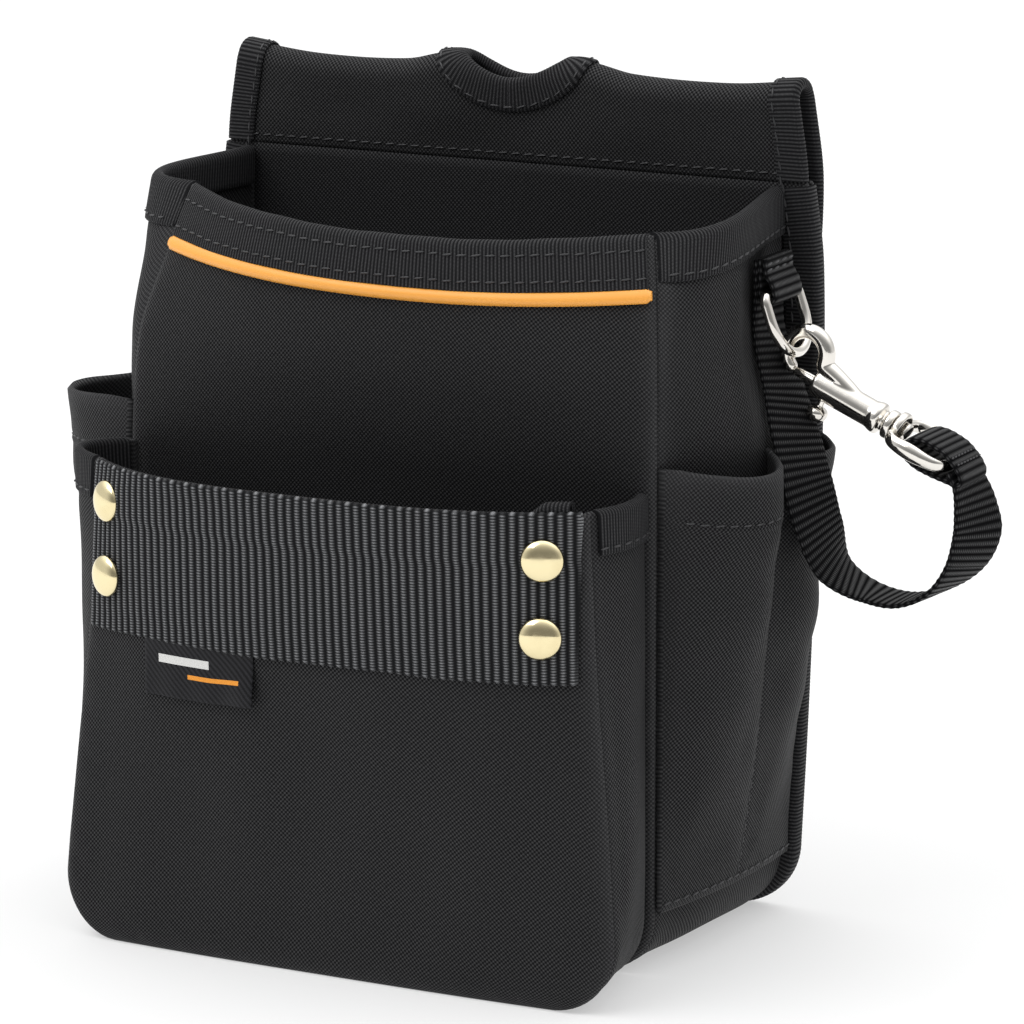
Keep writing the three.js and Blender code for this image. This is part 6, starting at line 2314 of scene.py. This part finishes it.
@dataclass
class SwivelEye:
    """Flat-sided eye that turns on the hook's stud, with the strap's end folded round it."""

    finishes: Finishes
    stitching: Stitching
    axis_z: float = -5.6

    def eye(self) -> None:
        """Cast eye and its flange."""
        side = [(39.2, 0), (39.2, 5.5), (39.9, 9.4), (41.6, 11.3), (44.5, 12), (53.2, 11.9),
                (56.6, 11), (58.5, 8.6), (59, 5), (59, 0)]
        loop = np.array(side + [(x, -y) for x, y in side[-2:0:-1]], float)
        loop = resample(np.concatenate([loop, loop[:1]]), 0.5)[:-1]
        for _ in range(6):
            loop = loop / 2 + (np.roll(loop, 1, 0) + np.roll(loop, -1, 0)) / 4
        path = np.stack([loop[:, 0], loop[:, 1], self.axis_z + 0 * loop[:, 0]], -1)
        leaf = 1.4 + 0.45 * np.exp(-(((loop[:, 0] - 48.5) / 5) ** 2)) * (np.abs(loop[:, 1]) > 9)
        rings = wire(path, leaf, (0, 0, 1), 1.45, 22)
        loop_piece = sweep("eye_loop", HOOK_FRAME.out(rings), closed=True)
        outline = [(0, 37.9), (5.2, 37.9), (5.7, 38.2), (5.8, 38.8), (5.8, 39.8), (5.5, 40.4),
                   (4.9, 40.6), (0, 40.6)]
        flange = lathe("eye_flange", outline, self.axis_z, HOOK_FRAME.out, 40)
        cast = fused("swivel_eye_cast", 0.26, 8, loop_piece, flange)
        bore = lathe("eye_bore", [(0, 36), (2.4, 36), (2.4, 40.9), (0, 40.9)], self.axis_z,
                     HOOK_FRAME.out, 28)
        cast = bored("swivel_eye_cast", cast, 45, bore)
        place(dress(cast, self.finishes.nickel), Body.EYE, Slot.NICKEL, "swivel_eye")

    def strap_end(self) -> None:
        """Strap folded round the eye's far bar and sewn to itself."""
        knots = [(45, 1.4), (46.8, 3.3), (51, 4.3), (57.5, 4), (63, 1.6), (66.4, -1.2),
                 (65.8, -3.1), (62, -3.3),
                 (57, -4), (51, -4.3), (46.8, -3.3), (45, -1.4)]
        loop = np.array(knots + knots[:1], float)
        loop = resample(loop, 0.36)[:-1]
        for _ in range(30):
            loop = loop / 2 + (np.roll(loop, 1, 0) + np.roll(loop, -1, 0)) / 4
        path = np.stack([loop[:, 0], 0 * loop[:, 0], self.axis_z + loop[:, 1]], -1)
        tripled = np.concatenate([path, path, path])
        across = np.zeros_like(tripled) + [0, 1, 0]
        rings = HOOK_FRAME.out(webbing_rings(tripled, across)[len(path) : 2 * len(path)])
        around = float(np.linalg.norm(np.roll(path, -1, 0) - path, axis=1).sum())
        pitch = around / round(around / STRAP_RIB_PITCH)
        strap = self.finishes.ribbed("strap_end_cloth", rings, self.finishes.strap, pitch,
                                     STRAP_RIB, True)
        place(strap, Body.EYE, Slot.WEBBING, "strap_end_loop")
        y = np.linspace(-8, 8, 30)
        up = HOOK_FRAME.out(np.array([[0, 0, 1.0]])) - HOOK_FRAME.out(np.zeros((1, 3)))
        for x, z in ((60.2, 3.75), (62.6, 2.8)):
            row = HOOK_FRAME.out(np.stack([x + 0 * y, y, self.axis_z + z + 0 * y], -1))
            self.stitching.row(row, tuple(up[0]))

    def build(self) -> None:
        """Builds the eye and the strap's end."""
        self.eye()
        self.strap_end()


@dataclass
class HangingStrap:
    """Webbing strap that hangs from under the ring's tab in a loop up to the eye."""

    finishes: Finishes
    route: tuple = (
        (99.4, 18.5, 211.5, 0), (99.4, 18.5, 200, 0), (100.2, 17.8, 188, 3), (106.8, 14.5, 172, 12),
        (113.6, 9, 158, 22), (118.2, 6.5, 146, 26), (121.6, 8.5, 132, 20), (125, 14, 118.5, 6),
        (133.5, 18, 111.5, 0), (145.5, 18.5, 109.9, 0), (156.8, 18.5, 114.3, 8),
        (164.8, 18.5, 122.5, 20),
        (168.5, 18.5, 132.4, 26), (167.9, 18.5, 140.5, 18), (166, 18.5, 147.4, 8),
        (162.6, 18.5, 152.4, 0),
    )

    def build(self) -> None:
        """Builds the strap in three lengths, cut at two places along its route."""
        curve = curve_through(list(self.route), 0.36)
        turn = np.radians(curve[:, 3])
        across = np.stack([np.sin(turn), np.cos(turn), 0 * turn], -1)
        rings = webbing_rings(curve[:, :3], across)
        knots = lengths(np.array(self.route)[:, :3])
        along = lengths(curve[:, :3])
        scale = along[-1] / knots[-1]
        cuts = [0]
        for index in (5.5, 11):
            low = int(index)
            at = knots[low] + (knots[min(low + 1, len(knots) - 1)] - knots[low]) * (index - low)
            cuts.append(int(np.argmin(np.abs(along - at * scale))))
        cuts.append(len(curve) - 1)
        spans = (
            ("strap_upper", Body.POUCH, Body.RING, (99.4, 18.5, 199), (106.8, 14.5, 170)),
            ("strap_bight", Body.RING, Body.HOOK, (121, 8, 135), (150, 18.5, 111)),
            ("strap_riser", Body.HOOK, Body.EYE, (165, 18.5, 123), (165.5, 18.5, 146)),
        )
        for (name, a, b, start, end), low, high in zip(spans, cuts[:-1], cuts[1:]):
            length = float(np.linalg.norm(np.diff(rings[low : high + 1].mean(1), axis=0), axis=1).sum())
            pitch = length / round(length / STRAP_RIB_PITCH)
            piece = self.finishes.ribbed(name, rings[low : high + 1], self.finishes.strap, pitch,
                                         STRAP_RIB)
            stand_in(piece, Slot.WEBBING, "hanging_strap")
            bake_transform(piece)


# ------------------------------------------------------------------ studio
@dataclass
class Studio:
    """Camera, pale floor and plain soft light."""

    azimuth: float = 27.843
    elevation: float = 12.673
    roll: float = -0.224
    distance: float = 1579.99
    target: tuple = (32.115, -20, 133.312)
    lens: float = 182.95
    floor_size: float = 40

    def camera(self) -> None:
        """Sets the camera at the object's usual angle."""
        az, el, roll = (math.radians(v) for v in (self.azimuth, self.elevation, self.roll))
        back = Vector((math.sin(az) * math.cos(el), -math.cos(az) * math.cos(el), math.sin(el)))
        spot = Vector(self.target) + back * self.distance
        right = (-back).cross(Vector((0, 0, 1))).normalized()
        up = right.cross(-back)
        right, up = (
            right * math.cos(roll) + up * math.sin(roll),
            up * math.cos(roll) - right * math.sin(roll),
        )
        camera = bpy.data.objects.new("camera", bpy.data.cameras.new("camera"))
        camera.matrix_world = Matrix((right, up, back)).transposed().to_4x4()
        camera.location = spot * MM
        camera.data.lens = self.lens
        camera.data.sensor_width = 36
        camera.data.clip_end = 100
        bpy.context.scene.collection.objects.link(camera)
        bpy.context.scene.camera = camera

    def floor(self) -> None:
        """Pale floor just under the pouch."""
        half = self.floor_size / 2 / MM
        corners = np.array([(-half, -half, -0.1), (half, -half, -0.1), (half, half, -0.1),
                            (-half, half, -0.1)])
        floor = make_mesh("floor", corners, [[0, 1, 2, 3]])
        material, tree = empty_material("studio_floor")
        nodes, links = tree.nodes, tree.links
        grain = nodes.new("ShaderNodeTexNoise")
        grain.label = "faint paper grain"
        tone = nodes.new("ShaderNodeMix")
        tone.label = "near-white paper"
        matt = nodes.new("ShaderNodeBsdfDiffuse")
        matt.label = "matt paper"
        glow = nodes.new("ShaderNodeEmission")
        glow.label = "lit from below"
        light_table = nodes.new("ShaderNodeMixShader")
        light_table.label = "paper on a light table"
        out = nodes.new("ShaderNodeOutputMaterial")
        for step, node in enumerate(nodes):
            node.location = (200 * step, 0)
        light_table.inputs["Fac"].default_value = 0.45
        glow.inputs["Color"].default_value = (1, 1, 1, 1)
        grain.inputs["Scale"].default_value = 400
        tone.data_type = "RGBA"
        tone.inputs["A"].default_value = (0.93, 0.93, 0.93, 1)
        tone.inputs["B"].default_value = (0.96, 0.96, 0.96, 1)
        links.new(grain.outputs["Fac"], tone.inputs["Factor"])
        links.new(tone.outputs["Result"], matt.inputs["Color"])
        links.new(matt.outputs[0], light_table.inputs[1])
        links.new(glow.outputs[0], light_table.inputs[2])
        links.new(light_table.outputs[0], out.inputs["Surface"])
        dress(floor, material)

    def world(self) -> None:
        """Soft sky: bright above, dimmer behind the camera, plain white where it is seen directly."""
        world = bpy.data.worlds.new("studio")
        world.use_nodes = True
        bpy.context.scene.world = world
        tree = world.node_tree
        nodes, links = tree.nodes, tree.links
        nodes.clear()
        look = nodes.new("ShaderNodeTexCoord")
        look.label = "direction"
        split = nodes.new("ShaderNodeSeparateXYZ")
        split.label = "height of the direction"
        zenith = nodes.new("ShaderNodeMapRange")
        zenith.label = "brighter overhead"
        front = nodes.new("ShaderNodeVectorMath")
        front.label = "towards the viewer's side"
        dim = nodes.new("ShaderNodeMapRange")
        dim.label = "dimmer there"
        level = nodes.new("ShaderNodeMath")
        level.label = "sky brightness"
        sky = nodes.new("ShaderNodeBackground")
        sky.label = "light on the object"
        plain = nodes.new("ShaderNodeBackground")
        plain.label = "plain white seen directly"
        path = nodes.new("ShaderNodeLightPath")
        path.label = "seen directly or not"
        choose = nodes.new("ShaderNodeMixShader")
        choose.label = "sky or plain white"
        out = nodes.new("ShaderNodeOutputWorld")
        for step, node in enumerate(nodes):
            node.location = (190 * (step % 6), -240 * (step // 6))
        zenith.interpolation_type = "SMOOTHSTEP"
        zenith.inputs["From Min"].default_value, zenith.inputs["From Max"].default_value = 0.25, 0.95
        zenith.inputs["To Min"].default_value, zenith.inputs["To Max"].default_value = 0.9, 2.3
        front.operation = "DOT_PRODUCT"
        front.inputs[1].default_value = (0.47, -0.88, 0.05)
        dim.interpolation_type = "SMOOTHSTEP"
        dim.inputs["From Min"].default_value, dim.inputs["From Max"].default_value = 0.1, 0.9
        dim.inputs["To Min"].default_value, dim.inputs["To Max"].default_value = 1.0, 0.35
        level.operation = "MULTIPLY"
        plain.inputs["Strength"].default_value = 1.0
        plain.inputs["Color"].default_value = (1, 1, 1, 1)
        links.new(look.outputs["Generated"], split.inputs[0])
        links.new(split.outputs["Z"], zenith.inputs["Value"])
        links.new(look.outputs["Generated"], front.inputs[0])
        links.new(front.outputs["Value"], dim.inputs["Value"])
        links.new(zenith.outputs[0], level.inputs[0])
        links.new(dim.outputs[0], level.inputs[1])
        links.new(level.outputs[0], sky.inputs["Strength"])
        links.new(path.outputs["Is Camera Ray"], choose.inputs["Fac"])
        links.new(sky.outputs[0], choose.inputs[1])
        links.new(plain.outputs[0], choose.inputs[2])
        links.new(choose.outputs[0], out.inputs["Surface"])

    def lamps(self) -> None:
        """One wide soft light high on the left."""
        data = bpy.data.lights.new("soft_key", "AREA")
        data.shape, data.size, data.size_y, data.energy = "RECTANGLE", 1.6, 1.0, 9
        lamp = bpy.data.objects.new("soft_key", data)
        lamp.location = (-0.7, -1.1, 1.7)
        aim = Vector((0, 0, 0.12)) - lamp.location
        lamp.rotation_mode = "QUATERNION"
        lamp.rotation_quaternion = aim.to_track_quat("-Z", "Y")
        bpy.context.scene.collection.objects.link(lamp)

    def build(self) -> None:
        """Sets up the studio."""
        scene = bpy.context.scene
        scene.view_settings.view_transform = "Standard"
        scene.view_settings.look = "None"
        self.camera()
        self.floor()
        self.world()
        self.lamps()


def main() -> None:
    """Builds the pouch piece by piece, then sews it."""
    logging.basicConfig(level=logging.INFO, format="%(message)s")
    Studio().build()
    finishes, pattern, stitching = Finishes(), Pattern(), Stitching()
    eye_stitching = Stitching()
    compartment = Compartment(pattern, finishes, stitching)
    compartment.build()
    FrontPouch(pattern, finishes, stitching, compartment).build()
    for side in Side:
        SidePocket(side, pattern, finishes, stitching).build()
    Back(pattern, finishes, stitching).build()
    BeltFlap(pattern, finishes, stitching).build()
    RingTab(finishes, stitching).build()
    DRing(finishes).build()
    SnapHook(finishes).build()
    SwivelEye(finishes, eye_stitching).build()
    HangingStrap(finishes).build()
    place(stitching.sew("pouch_stitches", finishes), Body.POUCH, Slot.BINDING)
    place(eye_stitching.sew("strap_bar_tack", finishes, 2.2, 1.9, 0.3), Body.EYE, Slot.WEBBING)


if __name__ == "__main__":
    main()
